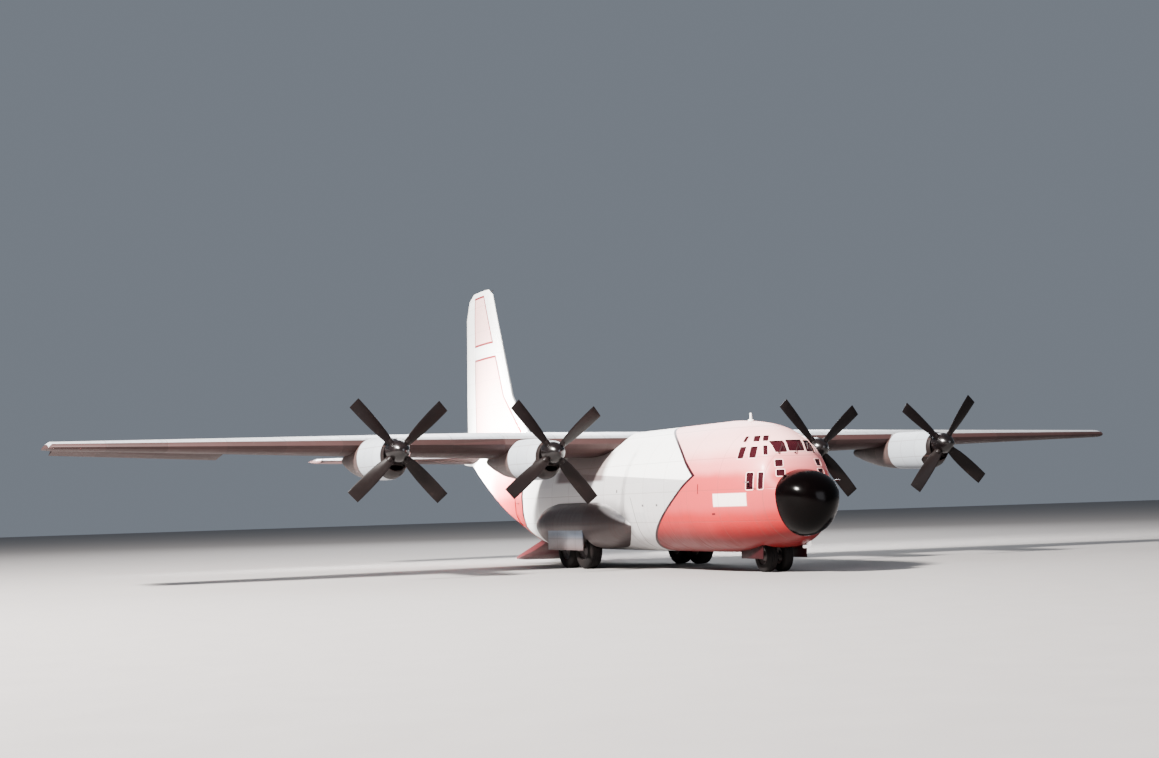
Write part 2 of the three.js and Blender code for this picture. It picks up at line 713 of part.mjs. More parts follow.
const cargoDoorSkin = common(
  cut(
    hull(cargoDoor.frontY, cargoDoor.aftY),
    hull(cargoDoor.frontY - 200, cargoDoor.aftY + 200, cargoDoor.wall),
  ),
  loft([
    bellyRing(cargoDoor.frontY - 10, cargoDoor.frontHalf, 2750),
    bellyRing(cargoDoor.aftY + 10, cargoDoor.aftHalf, 3720),
  ]),
);
const lugOutline = [[-150, -210], [-50, -210], [35, -30], [35, 35], [-35, 35], [-150, -130]];
const portLug = sideSlab(
  lugOutline.map(([y, z]) => [cargoDoor.hingeY + y, cargoDoor.hingeZ + z]),
  doorLug.innerX,
  doorLug.outerX,
);
const closedCargoDoor = cut(
  joined(cargoDoorSkin, portLug, mirrored(portLug)),
  boreRod(doorLine(-doorLug.outerX - 1), doorLine(doorLug.outerX + 1), cargoDoor.pinRadius),
);
addPiece("cargo_door", turned(closedCargoDoor, doorLine(0), [1, 0, 0], -cargoDoor.swing), finishes.silver);
noteJoint("cargo_door", vec(...doorLine(0)), vec(...doorLine(1)));

// Tail
const elevatorHinge = {
  from: vec(1080, 27000, 4320),
  to: vec(7400, 27000, 4320),
  radii: [205, 60],
  up: vec(0, 0, 1),
  lips: [25, 10],
};
const tailSeat = hull(20000, 29790, -seatGap);

// Fin: height, leading edge y, chord, thickness ratio
const finStations = [
  [4400, 20300, 9450, 0.0805, 0, 0],
  [4720, 21000, 8750, 0.0866, 0, 0],
  [5300, 22690, 7060, 0.104, 0, 0],
  [6880, 24350, 5400, 0.117, 0, 0],
  [10600, 25960, 3590, 0.093, 0, 0],
  [11400, 26300, 2850, 0.094, 0, 0],
  [11660, 26720, 1850, 0.083, 0, 0],
];
const rudderHinge = {
  from: vec(0, 28330, 4960),
  to: vec(0, 28420, 11380),
  radii: [230, 105],
  up: vec(1, 0, 0),
  lips: [25, 25],
};
const finSolid = surface(finStations, 4400, 11660, { pointAt: uprightPoint });
const finSeat = surface(finStations, 4400, 11660, { pointAt: uprightPoint, grow: seatGap });
const tailplane = surface(tailplaneStations, 100, 8025);
const tailWall = 35;
const tailplaneHollow = hollow(tailplaneStations, 0, 6500, [0.09, 0.42], [0.09, 0.55], tailWall, flatPoint);
const elevatorHollow = hollow(tailplaneStations, 0, 6000, [0.5, 0.86], [0.68, 0.82], tailWall, flatPoint);
const finHollow = hollow(finStations, 4400, 10600, [0.1, 0.75], [0.1, 0.55], tailWall, uprightPoint);
const rudderHollow = hollow(finStations, 4400, 10000, [0.88, 0.94], [0.75, 0.86], tailWall, uprightPoint);
addPair("tailplane", joined(
  cut(tailplane, tailSeat, finSeat, hingeRegion(elevatorHinge, true), tailplaneHollow),
  ...hingePins(elevatorHinge, ["to"]),
), finishes.metal);
addPair("elevator", cut(
  common(tailplane, hingeRegion(elevatorHinge, false)),
  elevatorHollow,
  ...hingeBores(elevatorHinge, ["to"]),
), finishes.metal);
noteJoint("elevator", elevatorHinge.from, elevatorHinge.to);
addPiece("fin", joined(
  cut(finSolid, tailSeat, hingeRegion(rudderHinge, true), finHollow),
  ...hingePins(rudderHinge),
), finishes.silver);
addPiece("rudder", cut(
  common(finSolid, hingeRegion(rudderHinge, false)),
  rudderHollow,
  ...hingeBores(rudderHinge),
), finishes.silver);
noteJoint("rudder", rudderHinge.from, rudderHinge.to);

// Engines: number, x, hub height, and how far the propeller stands turned in degrees
const engineTable = [
  { number: 1, x: 10160, hubZ: 4030, rest: -6 },
  { number: 2, x: 4940, hubZ: 3920, rest: 5 },
  { number: 3, x: -4940, hubZ: 3920, rest: 5 },
  { number: 4, x: -10160, hubZ: 4030, rest: 2 },
];
const propellerY = 8300;
const nacelleFrontY = 8560;
const nacelleWall = 70;
// y, half width, top and bottom from the hub's height, height of the widest line
const nacelleStations = [
  [nacelleFrontY, 420, 395, -640, -90],
  [8820, 490, 430, -830, -140],
  [9400, 545, 490, -870, -160],
  [11000, 550, 520, -820, -130],
  [12200, 500, 420, -700, -130],
  [13100, 400, 220, -500, -110],
  [13800, 260, 40, -300, -110],
];
const nacelleSides = 20;
function nacelleRing([y, halfWidth, top, bottom, waist], inset) {
  return Array.from({ length: nacelleSides }, (_, k) => {
    const angle = (k / nacelleSides) * 2 * Math.PI;
    const [c, s] = [Math.cos(angle), Math.sin(angle)];
    const rise = s > 0 ? top - waist - inset : waist - bottom - inset;
    return vec(c * (halfWidth - inset), y, waist + s * rise);
  });
}
const nacelleForm = (inset) => loft(nacelleStations.map((row) => nacelleRing(row, inset)));

const bladeCount = 4;
const bladeSides = 8;
const spinnerSides = 16;
const propellerRadius = 2057;
// radius, chord, thickness, pitch in degrees from the disc
const bladeStations = [
  [180, 260, 160, 38],
  [420, 310, 140, 34],
  [700, 390, 95, 28],
  [1100, 440, 62, 21],
  [1600, 455, 42, 15],
  [propellerRadius, 440, 26, 10],
];
function bladeRing([radius, chord, thickness, pitch]) {
  const [c, s] = [Math.cos(radians(pitch)), Math.sin(radians(pitch))];
  return Array.from({ length: bladeSides }, (_, k) => {
    const angle = (k / bladeSides) * 2 * Math.PI;
    const across = (Math.cos(angle) * chord) / 2;
    const deep = (Math.sin(angle) * thickness) / 2;
    return vec(across * c - deep * s, across * s + deep * c, radius);
  });
}
const blade = loft(bladeStations.map(bladeRing));
const spinnerStations = [[7840, 30], [7870, 120], [7960, 225], [8090, 310], [8260, 365], [8540, 385]];
const spinner = loft(spinnerStations.map(([y, radius]) => Array.from({ length: spinnerSides }, (_, k) => {
  const angle = (k / spinnerSides) * 2 * Math.PI;
  return vec(radius * Math.cos(angle), y - propellerY, radius * Math.sin(angle));
})));
const blades = Array.from({ length: bladeCount }, (_, k) => {
  return turned(blade, [0, 0, 0], [0, 1, 0], 45 + (k * 360) / bladeCount);
});
const shaft = { radius: 60, tipY: 8400, rootY: 9000 };
const shaftBore = boreRod(
  [0, shaft.tipY - boreGap - propellerY, 0],
  [0, nacelleFrontY - propellerY, 0],
  shaft.radius,
);
const propeller = cut(joined(spinner, ...blades), shaftBore);
const firewallY = 10700;
// The inside runs on past both ends, which leaves them open
const nacelleInside = loft(nacelleStations.map((row, i) => {
  const endShift = { 0: -2, [nacelleStations.length - 1]: 2 }[i] ?? 0;
  return nacelleRing([row[0] + endShift, ...row.slice(1)], nacelleWall);
}));
const nacelleShell = cut(nacelleForm(0), nacelleInside);
const engineBlock = joined(
  block([-260, shaft.rootY, -430], [260, 9650, 260]),
  rod([0, 9600, -330], [0, 12500, -240], 330, 16, 250),
  rod([0, shaft.rootY, 0], [0, shaft.tipY, 0], shaft.radius),
  common(
    nacelleForm(nacelleWall + 2 * seatGap),
    block([-700, firewallY, -1000], [700, firewallY + 60, -100]),
  ),
);
for (const { number, x, hubZ, rest } of engineTable) {
  const toPlace = (shape) => toGeometry(shape).clone().translate(x, 0, hubZ);
  addPiece(`nacelle_${number}`, cut(toPlace(nacelleShell), wingSeat), finishes.silver);
  addPiece(`engine_${number}`, cut(toPlace(engineBlock), wingSeat), finishes.dark);
  const placed = turned(propeller, [0, 0, 0], [0, 1, 0], rest);
  addPiece(`propeller_${number}`, placed.translate(x, propellerY, hubZ), finishes.dark);
  noteJoint(`propeller_${number}`, vec(x, propellerY, hubZ), vec(x, propellerY - 1, hubZ));
}

// Landing gear
const mainWheel = { radius: 700, halfWidth: 250, x: 2170, rimRadius: 380, places: [12000, 13520] };
const noseWheel = { radius: 490, halfWidth: 160, x: 270, rimRadius: 250, y: 3030 };
const wheelSides = 20;
const axleRadius = 60;
const boreRadius = axleRadius + boreGap;

// Half outline of a wheel as [radius, x] points from its bore outwards and back
function wheelSolid(outline) {
  const grow = 1 / Math.cos(Math.PI / wheelSides);
  const profile = outline.map(([radius, x]) => new THREE.Vector2(radius * grow, x));
  profile.push(profile[0].clone());
  const lathe = new THREE.LatheGeometry(profile, wheelSides, Math.PI / wheelSides);
  const bare = lathe.toNonIndexed();
  bare.applyMatrix4(new THREE.Matrix4().makeRotationZ(-Math.PI / 2));
  return facingOut(bare);
}
function tyreOutline({ radius, halfWidth, rimRadius }) {
  return [
    [boreRadius, -halfWidth * 0.6],
    [rimRadius * 0.95, -halfWidth * 0.6],
    [rimRadius, -halfWidth * 0.9],
    [radius * 0.85, -halfWidth],
    [radius, -halfWidth * 0.55],
    [radius, halfWidth * 0.55],
    [radius * 0.85, halfWidth],
    [rimRadius, halfWidth * 0.9],
    [rimRadius * 0.95, halfWidth * 0.6],
    [boreRadius, halfWidth * 0.6],
  ];
}
const mainWheelShape = wheelSolid(tyreOutline(mainWheel));
const wheelPlaces = [[1, 1, 0], [2, 1, 1], [3, -1, 0], [4, -1, 1]];
for (const [number, side, row] of wheelPlaces) {
  const center = [side * mainWheel.x, mainWheel.places[row], mainWheel.radius];
  addPiece(`main_wheel_${number}`, mainWheelShape.clone().translate(...center), finishes.rubber);
  noteJoint(`main_wheel_${number}`, vec(...center), vec(center[0] + 1, center[1], center[2]));
}
const strutX = 2520;
const mainLeg = joined(
  ...mainWheel.places.flatMap((y) => [
    rod([strutX, y, mainWheel.radius - 70], [strutX, y, wheelWell.topZ - seatGap], 70),
    rod([strutX, y, mainWheel.radius], [mainWheel.x - 150, y, mainWheel.radius], axleRadius),
  ]),
  block([strutX - 40, mainWheel.places[0], 1440], [strutX + 40, mainWheel.places[1], 1520]),
);
addPair("main_leg", mainLeg, finishes.dark);

// Sponson: y, outer x, top, bottom
const sponsonStations = [
  [8850, 2000, 1560, 1420],
  [9150, 2200, 1780, 1220],
  [9700, 2430, 2040, 970],
  [10500, 2660, 2250, 770],
  [11400, 2760, 2320, 700],
  [14400, 2760, 2320, 700],
  [15200, 2680, 2240, 770],
  [15900, 2490, 2030, 960],
  [16500, 2260, 1780, 1200],
  [16900, 2060, 1580, 1380],
];
const sponsonCurve = { innerX: 1300, middleX: 1700, steps: 12, power: 0.7 };
function sponsonRing([y, outerX, top, bottom]) {
  const { innerX, middleX, steps, power } = sponsonCurve;
  const middle = (top + bottom) / 2;
  return Array.from({ length: steps + 1 }, (_, k) => {
    const angle = radians(-90 + (180 * k) / steps);
    const bulge = Math.abs(Math.cos(angle)) ** power * (outerX - middleX);
    return vec(middleX + bulge, y, middle + (Math.sin(angle) * (top - bottom)) / 2);
  }).concat([vec(innerX, y, top), vec(innerX, y, bottom)]);
}
const sponsonForm = loft(sponsonStations.map(sponsonRing));
const sponsonSeat = hull(aftJointY - 9000, aftJointY, -seatGap);
const mainGearDoor = { innerX: 2700, outerX: 2740, bottomZ: 660, topZ: 1400, endGap: 100 };
addPair("sponson", cut(sponsonForm, sponsonSeat, wellBlock), finishes.silver);
addPair("main_gear_door", cut(
  block(
    [mainGearDoor.innerX, wheelWell.fromY + mainGearDoor.endGap, mainGearDoor.bottomZ],
    [mainGearDoor.outerX, wheelWell.toY - mainGearDoor.endGap, mainGearDoor.topZ],
  ),
  sponsonForm.clone().translate(0, 0, -2 * seatGap),
  sponsonForm,
), finishes.silver);

const noseLegTopZ = deckTopZ - floorThickness - seatGap;
const steering = { radius: 70, topZ: 1250, collarRadius: 110 };
addPiece("nose_leg", joined(
  rod([0, noseWheel.y, steering.topZ + seatGap], [0, noseWheel.y, noseLegTopZ], steering.collarRadius),
  common(
    rod([0, noseWheel.y, 1700], [0, noseWheel.y + 1100, 2250], 50),
    block([-100, noseWheel.y, 1600], [100, noseWheel.y + 1300, noseLegTopZ]),
  ),
), finishes.dark);
const noseAxlePoint = (x) => [x, noseWheel.y, noseWheel.radius];
addPiece("nose_steering", joined(
  rod([0, noseWheel.y, noseWheel.radius - 80], [0, noseWheel.y, steering.topZ], steering.radius),
  rod(noseAxlePoint(-noseWheel.x - 120), noseAxlePoint(noseWheel.x + 120), axleRadius),
), finishes.dark);
const noseWheelShape = wheelSolid(tyreOutline(noseWheel));
for (const [name, side] of [["port", 1], ["starboard", -1]]) {
  const center = [side * noseWheel.x, noseWheel.y, noseWheel.radius];
  addPiece(`nose_wheel_${name}`, noseWheelShape.clone().translate(...center), finishes.rubber);
}
noteJoint("nose_wheels", vec(0, noseWheel.y, noseWheel.radius), vec(1, noseWheel.y, noseWheel.radius));
noteJoint("nose_steering", vec(0, noseWheel.y, noseWheel.radius), vec(0, noseWheel.y, noseWheel.radius + 1));
const noseDoorBottomZ = 420;
addPair("nose_gear_door", cut(block(
  [noseWell.halfWidth + 10, noseWell.fromY + 60, noseDoorBottomZ],
  [noseWell.halfWidth + 45, noseWell.toY - 60, 900],
), hull(noseJointY, centerJointY, -seatGap)), finishes.red);

export default group;
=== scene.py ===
import json
import math

import bmesh
import bpy
from mathutils import Matrix, Vector

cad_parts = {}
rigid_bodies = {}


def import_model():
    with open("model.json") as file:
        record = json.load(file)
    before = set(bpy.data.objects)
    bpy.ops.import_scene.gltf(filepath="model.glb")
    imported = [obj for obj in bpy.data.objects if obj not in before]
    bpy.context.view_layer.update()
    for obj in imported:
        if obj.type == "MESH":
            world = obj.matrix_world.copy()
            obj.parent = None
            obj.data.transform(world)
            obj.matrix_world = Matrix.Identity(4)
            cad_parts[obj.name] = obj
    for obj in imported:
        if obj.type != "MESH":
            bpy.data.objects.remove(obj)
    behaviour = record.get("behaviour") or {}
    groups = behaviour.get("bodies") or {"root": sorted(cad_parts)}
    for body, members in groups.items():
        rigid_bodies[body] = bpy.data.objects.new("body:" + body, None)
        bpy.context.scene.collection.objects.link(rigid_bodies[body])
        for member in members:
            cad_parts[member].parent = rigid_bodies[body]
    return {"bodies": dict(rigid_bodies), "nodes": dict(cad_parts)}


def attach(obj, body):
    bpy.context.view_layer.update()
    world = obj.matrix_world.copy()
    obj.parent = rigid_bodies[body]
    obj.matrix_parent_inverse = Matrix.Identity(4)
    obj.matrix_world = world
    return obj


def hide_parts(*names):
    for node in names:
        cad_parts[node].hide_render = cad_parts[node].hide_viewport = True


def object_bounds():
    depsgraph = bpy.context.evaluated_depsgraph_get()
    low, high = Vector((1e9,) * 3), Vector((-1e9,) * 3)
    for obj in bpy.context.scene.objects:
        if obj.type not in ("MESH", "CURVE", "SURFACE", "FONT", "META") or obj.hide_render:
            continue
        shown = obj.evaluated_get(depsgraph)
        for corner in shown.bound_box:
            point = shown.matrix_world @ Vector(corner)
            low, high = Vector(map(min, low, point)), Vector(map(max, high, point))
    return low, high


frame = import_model()
cadLow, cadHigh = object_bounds()

# Places are written in metres of the full-size aircraft: x to port, y aft from the nose, z up.
# The model is half that size, and at() brings a place into the model's own frame.
half = 0.5
noseY = cadLow.y
portAndStarboard = (("port", 1), ("starboard", -1))


def at(x, y, z):
    return Vector((x * half, y * half + noseY, z * half))


# Selecting and shaping
def deselect():
    if bpy.context.object is not None and bpy.context.object.mode != "OBJECT":
        bpy.ops.object.mode_set(mode="OBJECT")
    bpy.ops.object.select_all(action="DESELECT")


def only(piece):
    deselect()
    piece.select_set(True)
    bpy.context.view_layer.objects.active = piece


def settle(piece):
    only(piece)
    bpy.ops.object.transform_apply(location=True, rotation=True, scale=True)
    return piece


def edit(piece):
    only(piece)
    bpy.ops.object.mode_set(mode="EDIT")
    return bmesh.from_edit_mesh(piece.data)


def selectWhere(piece, kind, test):
    mesh = bmesh.from_edit_mesh(piece.data)
    bpy.ops.mesh.select_mode(type={"verts": "VERT", "edges": "EDGE", "faces": "FACE"}[kind])
    bpy.ops.mesh.select_all(action="DESELECT")
    for element in getattr(mesh, kind):
        if test(element):
            element.select_set(True)
    mesh.select_flush_mode()
    bmesh.update_edit_mesh(piece.data)


def selectSlice(piece, start, count):
    mesh = bmesh.from_edit_mesh(piece.data)
    bpy.ops.mesh.select_all(action="DESELECT")
    mesh.verts.ensure_lookup_table()
    for index in range(start, start + count):
        mesh.verts[index].select = True
    mesh.select_flush(True)
    bmesh.update_edit_mesh(piece.data)


def useModifier(piece, kind, **settings):
    modifier = piece.modifiers.new(kind.lower(), kind)
    for key, value in settings.items():
        setattr(modifier, key, value)
    only(piece)
    bpy.ops.object.modifier_apply(modifier=modifier.name)
    return piece


def joinAll(name, pieces):
    deselect()
    for piece in pieces:
        piece.select_set(True)
    bpy.context.view_layer.objects.active = pieces[0]
    if len(pieces) > 1:
        bpy.ops.object.join()
    joined = bpy.context.view_layer.objects.active
    joined.name = name
    return joined


def copyOf(piece, name):
    copy = piece.copy()
    copy.data = piece.data.copy()
    copy.name = name
    copy.parent = None
    for key in [key for key in copy.keys() if key.startswith("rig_")]:
        del copy[key]
    copy.hide_render = False
    copy.hide_viewport = False
    bpy.context.scene.collection.objects.link(copy)
    return copy


def mirrorOf(piece, name):
    copy = copyOf(piece, name)
    copy.scale = (-1, 1, 1)
    settle(copy)
    bpy.ops.object.mode_set(mode="EDIT")
    bpy.ops.mesh.select_all(action="SELECT")
    bpy.ops.mesh.normals_make_consistent(inside=False)
    bpy.ops.object.mode_set(mode="OBJECT")
    return copy


def remove(piece):
    bpy.data.objects.remove(piece)


def cutWith(piece, cutter, operation="DIFFERENCE", keep=False, crossing=False):
    useModifier(
        piece, "BOOLEAN", object=cutter, operation=operation, solver="EXACT", use_self=crossing
    )
    if not keep:
        remove(cutter)
    return piece


def rounded(piece, width, segments=2, angle=35):
    return useModifier(
        piece,
        "BEVEL",
        width=width * half,
        segments=segments,
        limit_method="ANGLE",
        angle_limit=math.radians(angle),
        use_clamp_overlap=True,
    )


# Gives an open surface a wall on its inner side
def walled(piece, thickness, **more):
    return useModifier(piece, "SOLIDIFY", thickness=thickness * half, offset=-1, **more)


# Makes a ring of points in the XZ plane from a circle, each point moved to its place
def ringPiece(name, outline):
    bpy.ops.mesh.primitive_circle_add(vertices=len(outline), radius=1)
    piece = bpy.context.object
    piece.name = name
    edit(piece)
    bpy.ops.mesh.select_mode(type="VERT")
    for index, (across, up) in enumerate(outline):
        mesh = bmesh.from_edit_mesh(piece.data)
        mesh.verts.ensure_lookup_table()
        move = Vector((across, 0, up)) - mesh.verts[index].co
        selectSlice(piece, index, 1)
        bpy.ops.transform.translate(value=move)
    bpy.ops.object.mode_set(mode="OBJECT")
    return piece


# Makes the lower half of a round ring squarer or rounder, one pair of mirrored points at a time
def squareLower(piece, start, count, change):
    for index in range(count // 2 + 1, count * 3 // 4 + 1):
        angle = 2 * math.pi * index / count
        across, down = max(abs(math.cos(angle)), 1e-6), abs(math.sin(angle))
        mesh = bmesh.from_edit_mesh(piece.data)
        bpy.ops.mesh.select_all(action="DESELECT")
        mesh.verts.ensure_lookup_table()
        mesh.verts[start + index].select = True
        mesh.verts[start + count * 3 // 2 - index].select = True
        bpy.ops.transform.resize(
            value=(across ** change, 1, down ** change), center_override=(0, 0, 0)
        )


# Copies a ring to each place, scaled in width and in height above and below its own middle, and
# bridges the copies. A place is (middle, width, up, down) in metres of the model.
def loft(name, outline, places, caps=(True, True), turns=None, upright=False, changes=None):
    piece = ringPiece(name, outline)
    count = len(outline)
    isUpper = [point[1] >= 0 for point in outline]
    edit(piece)
    bpy.ops.mesh.select_mode(type="VERT")
    for number, (middle, width, up, down) in enumerate(places):
        selectSlice(piece, 0, count)
        bpy.ops.mesh.duplicate()
        start = count * (number + 1)
        if changes is not None and abs(changes[number]) > 1e-9:
            squareLower(piece, start, count, changes[number])
            selectSlice(piece, start, count)
        bpy.ops.transform.resize(value=(width, 1, up), center_override=(0, 0, 0))
        if abs(up - down) > 1e-9:
            mesh = bmesh.from_edit_mesh(piece.data)
            mesh.verts.ensure_lookup_table()
            for index in range(count):
                mesh.verts[start + index].select = not isUpper[index]
            mesh.select_flush(False)
            bpy.ops.transform.resize(value=(1, 1, down / up), center_override=(0, 0, 0))
            selectSlice(piece, start, count)
        if turns is not None and abs(turns[number]) > 1e-9:
            bpy.ops.transform.rotate(
                value=-turns[number], orient_axis="Y", center_override=(0, 0, 0)
            )
        if upright:
            bpy.ops.transform.rotate(
                value=-math.pi / 2, orient_axis="X", center_override=(0, 0, 0)
            )
        bpy.ops.transform.translate(value=middle)
    for number in range(1, len(places)):
        selectSlice(piece, count * number, count * 2)
        bpy.ops.mesh.bridge_edge_loops()
    for number, isCapped in ((1, caps[0]), (len(places), caps[1])):
        if isCapped:
            selectSlice(piece, count * number, count)
            bpy.ops.mesh.edge_face_add()
    selectSlice(piece, 0, count)
    bpy.ops.mesh.delete(type="VERT")
    bpy.ops.mesh.select_all(action="SELECT")
    bpy.ops.mesh.normals_make_consistent(inside=False)
    bpy.ops.object.mode_set(mode="OBJECT")
    return piece


def roundOutline(sides, squareness=2.0):
    power = 2 / squareness
    points = []
    for index in range(sides):
        angle = 2 * math.pi * index / sides
        c, s = math.cos(angle), math.sin(angle)
        if s < -1e-9:
            points.append((math.copysign(abs(c) ** power, c), -(abs(s) ** power)))
        else:
            points.append((c, max(0.0, s)))
    return points


def boxPiece(name, low, high, width=0.0):
    bpy.ops.mesh.primitive_cube_add(size=1, location=(at(*low) + at(*high)) / 2)
    piece = bpy.context.object
    piece.name = name
    piece.scale = at(*high) - at(*low)
    settle(piece)
    if width > 0:
        rounded(piece, width)
    return piece


# A rod between two places, with an optional taper and softened ends
def rodPiece(name, start, end, radius, endRadius=None, sides=24, soft=0.006):
    first, last = at(*start), at(*end)
    run = last - first
    bpy.ops.mesh.primitive_cone_add(
        vertices=sides,
        radius1=radius * half,
        radius2=(radius if endRadius is None else endRadius) * half,
        depth=run.length,
        location=(first + last) / 2,
        rotation=run.to_track_quat("Z", "Y").to_euler(),
    )
    piece = bpy.context.object
    piece.name = name
    settle(piece)
    if soft > 0:
        rounded(piece, soft)
    return piece


# Rods from rows of name, start, end, radius, end radius, sides and softness, with their points
# taken from a place and turned to either side of the aircraft
def rodRows(rows, place=(0, 0, 0), way=1):
    def moved(point):
        return way * (place[0] + point[0]), place[1] + point[1], place[2] + point[2]

    return [rodPiece(name, moved(start), moved(end), *rest) for name, start, end, *rest in rows]


# Boxes from two opposite corners each, in any order
def boxBetween(name, first, second, width=0.0):
    low, high = (tuple(map(pick, first, second)) for pick in (min, max))
    return boxPiece(name, low, high, width)


# Spins an outline of (radius, sideways) points about a line along X
def spun(name, outline, middle, steps=48):
    piece = ringPiece(name, [(side * half, radius * half) for radius, side in outline])
    edit(piece)
    bpy.ops.mesh.select_all(action="SELECT")
    bpy.ops.mesh.spin(steps=steps, angle=2 * math.pi, center=(0, 0, 0), axis=(1, 0, 0))
    bpy.ops.mesh.select_all(action="SELECT")
    bpy.ops.mesh.remove_doubles(threshold=0.00002)
    bpy.ops.mesh.normals_make_consistent(inside=False)
    bpy.ops.object.mode_set(mode="OBJECT")
    piece.location = at(*middle)
    return settle(piece)


def mergedCopy(node, name):
    piece = copyOf(frame["nodes"][node], name)
    piece.data.materials.clear()
    edit(piece)
    bpy.ops.mesh.select_all(action="SELECT")
    bpy.ops.mesh.remove_doubles(threshold=0.00002)
    bpy.ops.mesh.dissolve_limited(angle_limit=math.radians(0.4))
    bpy.ops.object.mode_set(mode="OBJECT")
    bpy.ops.mesh.customdata_custom_splitnormals_clear()
    return piece


def finishPiece(piece, body, paint, replaced=(), angle=30):
    only(piece)
    bpy.ops.object.shade_smooth_by_angle(angle=math.radians(angle))
    piece.data.materials.clear()
    piece.data.materials.append(paint)
    piece.data.name = piece.name
    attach(piece, body)
    if replaced:
        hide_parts(*replaced)
    return piece


# Materials
class Wire:
    # a socket that sums can be written with

    def __init__(self, paint, socket):
        self.paint = paint
        self.socket = socket

    def __add__(self, other):
        return self.paint.math("ADD", self, other)

    def __radd__(self, other):
        return self.paint.math("ADD", other, self)

    def __sub__(self, other):
        return self.paint.math("SUBTRACT", self, other)

    def __rsub__(self, other):
        return self.paint.math("SUBTRACT", other, self)

    def __mul__(self, other):
        return self.paint.math("MULTIPLY", self, other)

    def __rmul__(self, other):
        return self.paint.math("MULTIPLY", other, self)

    def __truediv__(self, other):
        return self.paint.math("DIVIDE", self, other)

    def above(self, level, blur=0.01):
        return self.paint.ease(self, level - blur, level + blur)

    def below(self, level, blur=0.01):
        return 1 - self.above(level, blur)

    def absolute(self):
        return self.paint.math("ABSOLUTE", self)

    # distance to the nearest of a set of evenly spaced places
    def repeat(self, spacing):
        return self.paint.math("PINGPONG", self, spacing / 2)


class Paint:
    def __init__(self, name, **fixed):
        self.material = bpy.data.materials.new(name)
        self.material.use_nodes = True
        self.tree = self.material.node_tree
        self.shader = self.tree.nodes["Principled BSDF"]
        for key, value in fixed.items():
            self.shader.inputs[key.replace("_", " ")].default_value = value
        place = self.node("ShaderNodeTexCoord").outputs["Object"]
        self.place = Wire(self, place)
        parts = self.node("ShaderNodeSeparateXYZ", inputs={"Vector": self.place}).outputs
        self.x = Wire(self, parts["X"]) * (1 / half)
        self.y = (Wire(self, parts["Y"]) - noseY) * (1 / half)
        self.z = Wire(self, parts["Z"]) * (1 / half)

    def node(self, kind, settings=None, inputs=None):
        made = self.tree.nodes.new(kind)
        for key, value in (settings or {}).items():
            setattr(made, key, value)
        for key, value in (inputs or {}).items():
            self.plug(made.inputs[key], value)
        return made

    def plug(self, socket, value):
        if isinstance(value, Wire):
            self.tree.links.new(value.socket, socket)
        else:
            socket.default_value = value

    def math(self, operation, *values):
        made = self.node("ShaderNodeMath", {"operation": operation})
        for index, value in enumerate(values):
            self.plug(made.inputs[index], value)
        return Wire(self, made.outputs[0])

    def ease(self, value, low, high):
        made = self.node(
            "ShaderNodeMapRange",
            {"interpolation_type": "SMOOTHSTEP"},
            {"Value": value, "From Min": low, "From Max": high},
        )
        return Wire(self, made.outputs["Result"])

    def noise(self, scale, detail=4.0, stretch=(1, 1, 1)):
        mapping = self.node(
            "ShaderNodeMapping", inputs={"Vector": self.place, "Scale": stretch}
        )
        made = self.node(
            "ShaderNodeTexNoise",
            inputs={
                "Vector": Wire(self, mapping.outputs[0]),
                "Scale": scale,
                "Detail": detail,
            },
        )
        return Wire(self, made.outputs["Fac"])

    # a random tone for each panel of a grid laid over two directions
    def patches(self, first, second, firstSize, secondSize):
        cell = self.node(
            "ShaderNodeCombineXYZ",
            inputs={
                "X": self.math("FLOOR", first / firstSize),
                "Y": self.math("FLOOR", second / secondSize),
            },
        )
        made = self.node(
            "ShaderNodeTexWhiteNoise", inputs={"Vector": Wire(self, cell.outputs[0])}
        )
        return Wire(self, made.outputs["Value"])

    # eases from tone to tone as a value rises, for stops given as (value, tone)
    def steps(self, value, stops):
        color = stops[0][1]
        for (low, _), (high, tone) in zip(stops, stops[1:]):
            color = self.mix(self.ease(value, low, high), color, tone)
        return color

    def mix(self, share, first, second):
        made = self.node("ShaderNodeMix", {"data_type": "RGBA"})
        self.plug(made.inputs[0], share)
        self.plug(made.inputs[6], first if isinstance(first, Wire) else (*first, 1))
        self.plug(made.inputs[7], second if isinstance(second, Wire) else (*second, 1))
        return Wire(self, made.outputs[2])

    def finish(self, color=None, roughness=None, metallic=None, height=None, bump=0.3, deep=0.004):
        if color is not None:
            self.plug(self.shader.inputs["Base Color"], color)
        if roughness is not None:
            self.plug(self.shader.inputs["Roughness"], roughness)
        if metallic is not None:
            self.plug(self.shader.inputs["Metallic"], metallic)
        if height is not None:
            made = self.node(
                "ShaderNodeBump",
                inputs={"Height": height, "Strength": bump, "Distance": deep},
            )
            self.plug(self.shader.inputs["Normal"], Wire(self, made.outputs["Normal"]))
        return self.material


# Seams between plates and rows of rivets beside them, 1 in the seam and 0 elsewhere
def seams(along, spacing, width=0.012):
    return along.repeat(spacing).below(width, width * 0.5)


def rivets(along, across, spacing, rowSpacing, size=0.012):
    first = along.repeat(spacing)
    second = (across.repeat(rowSpacing) - 0.05).absolute()
    return (first * first + second * second).below(size * size, size * size * 0.6)


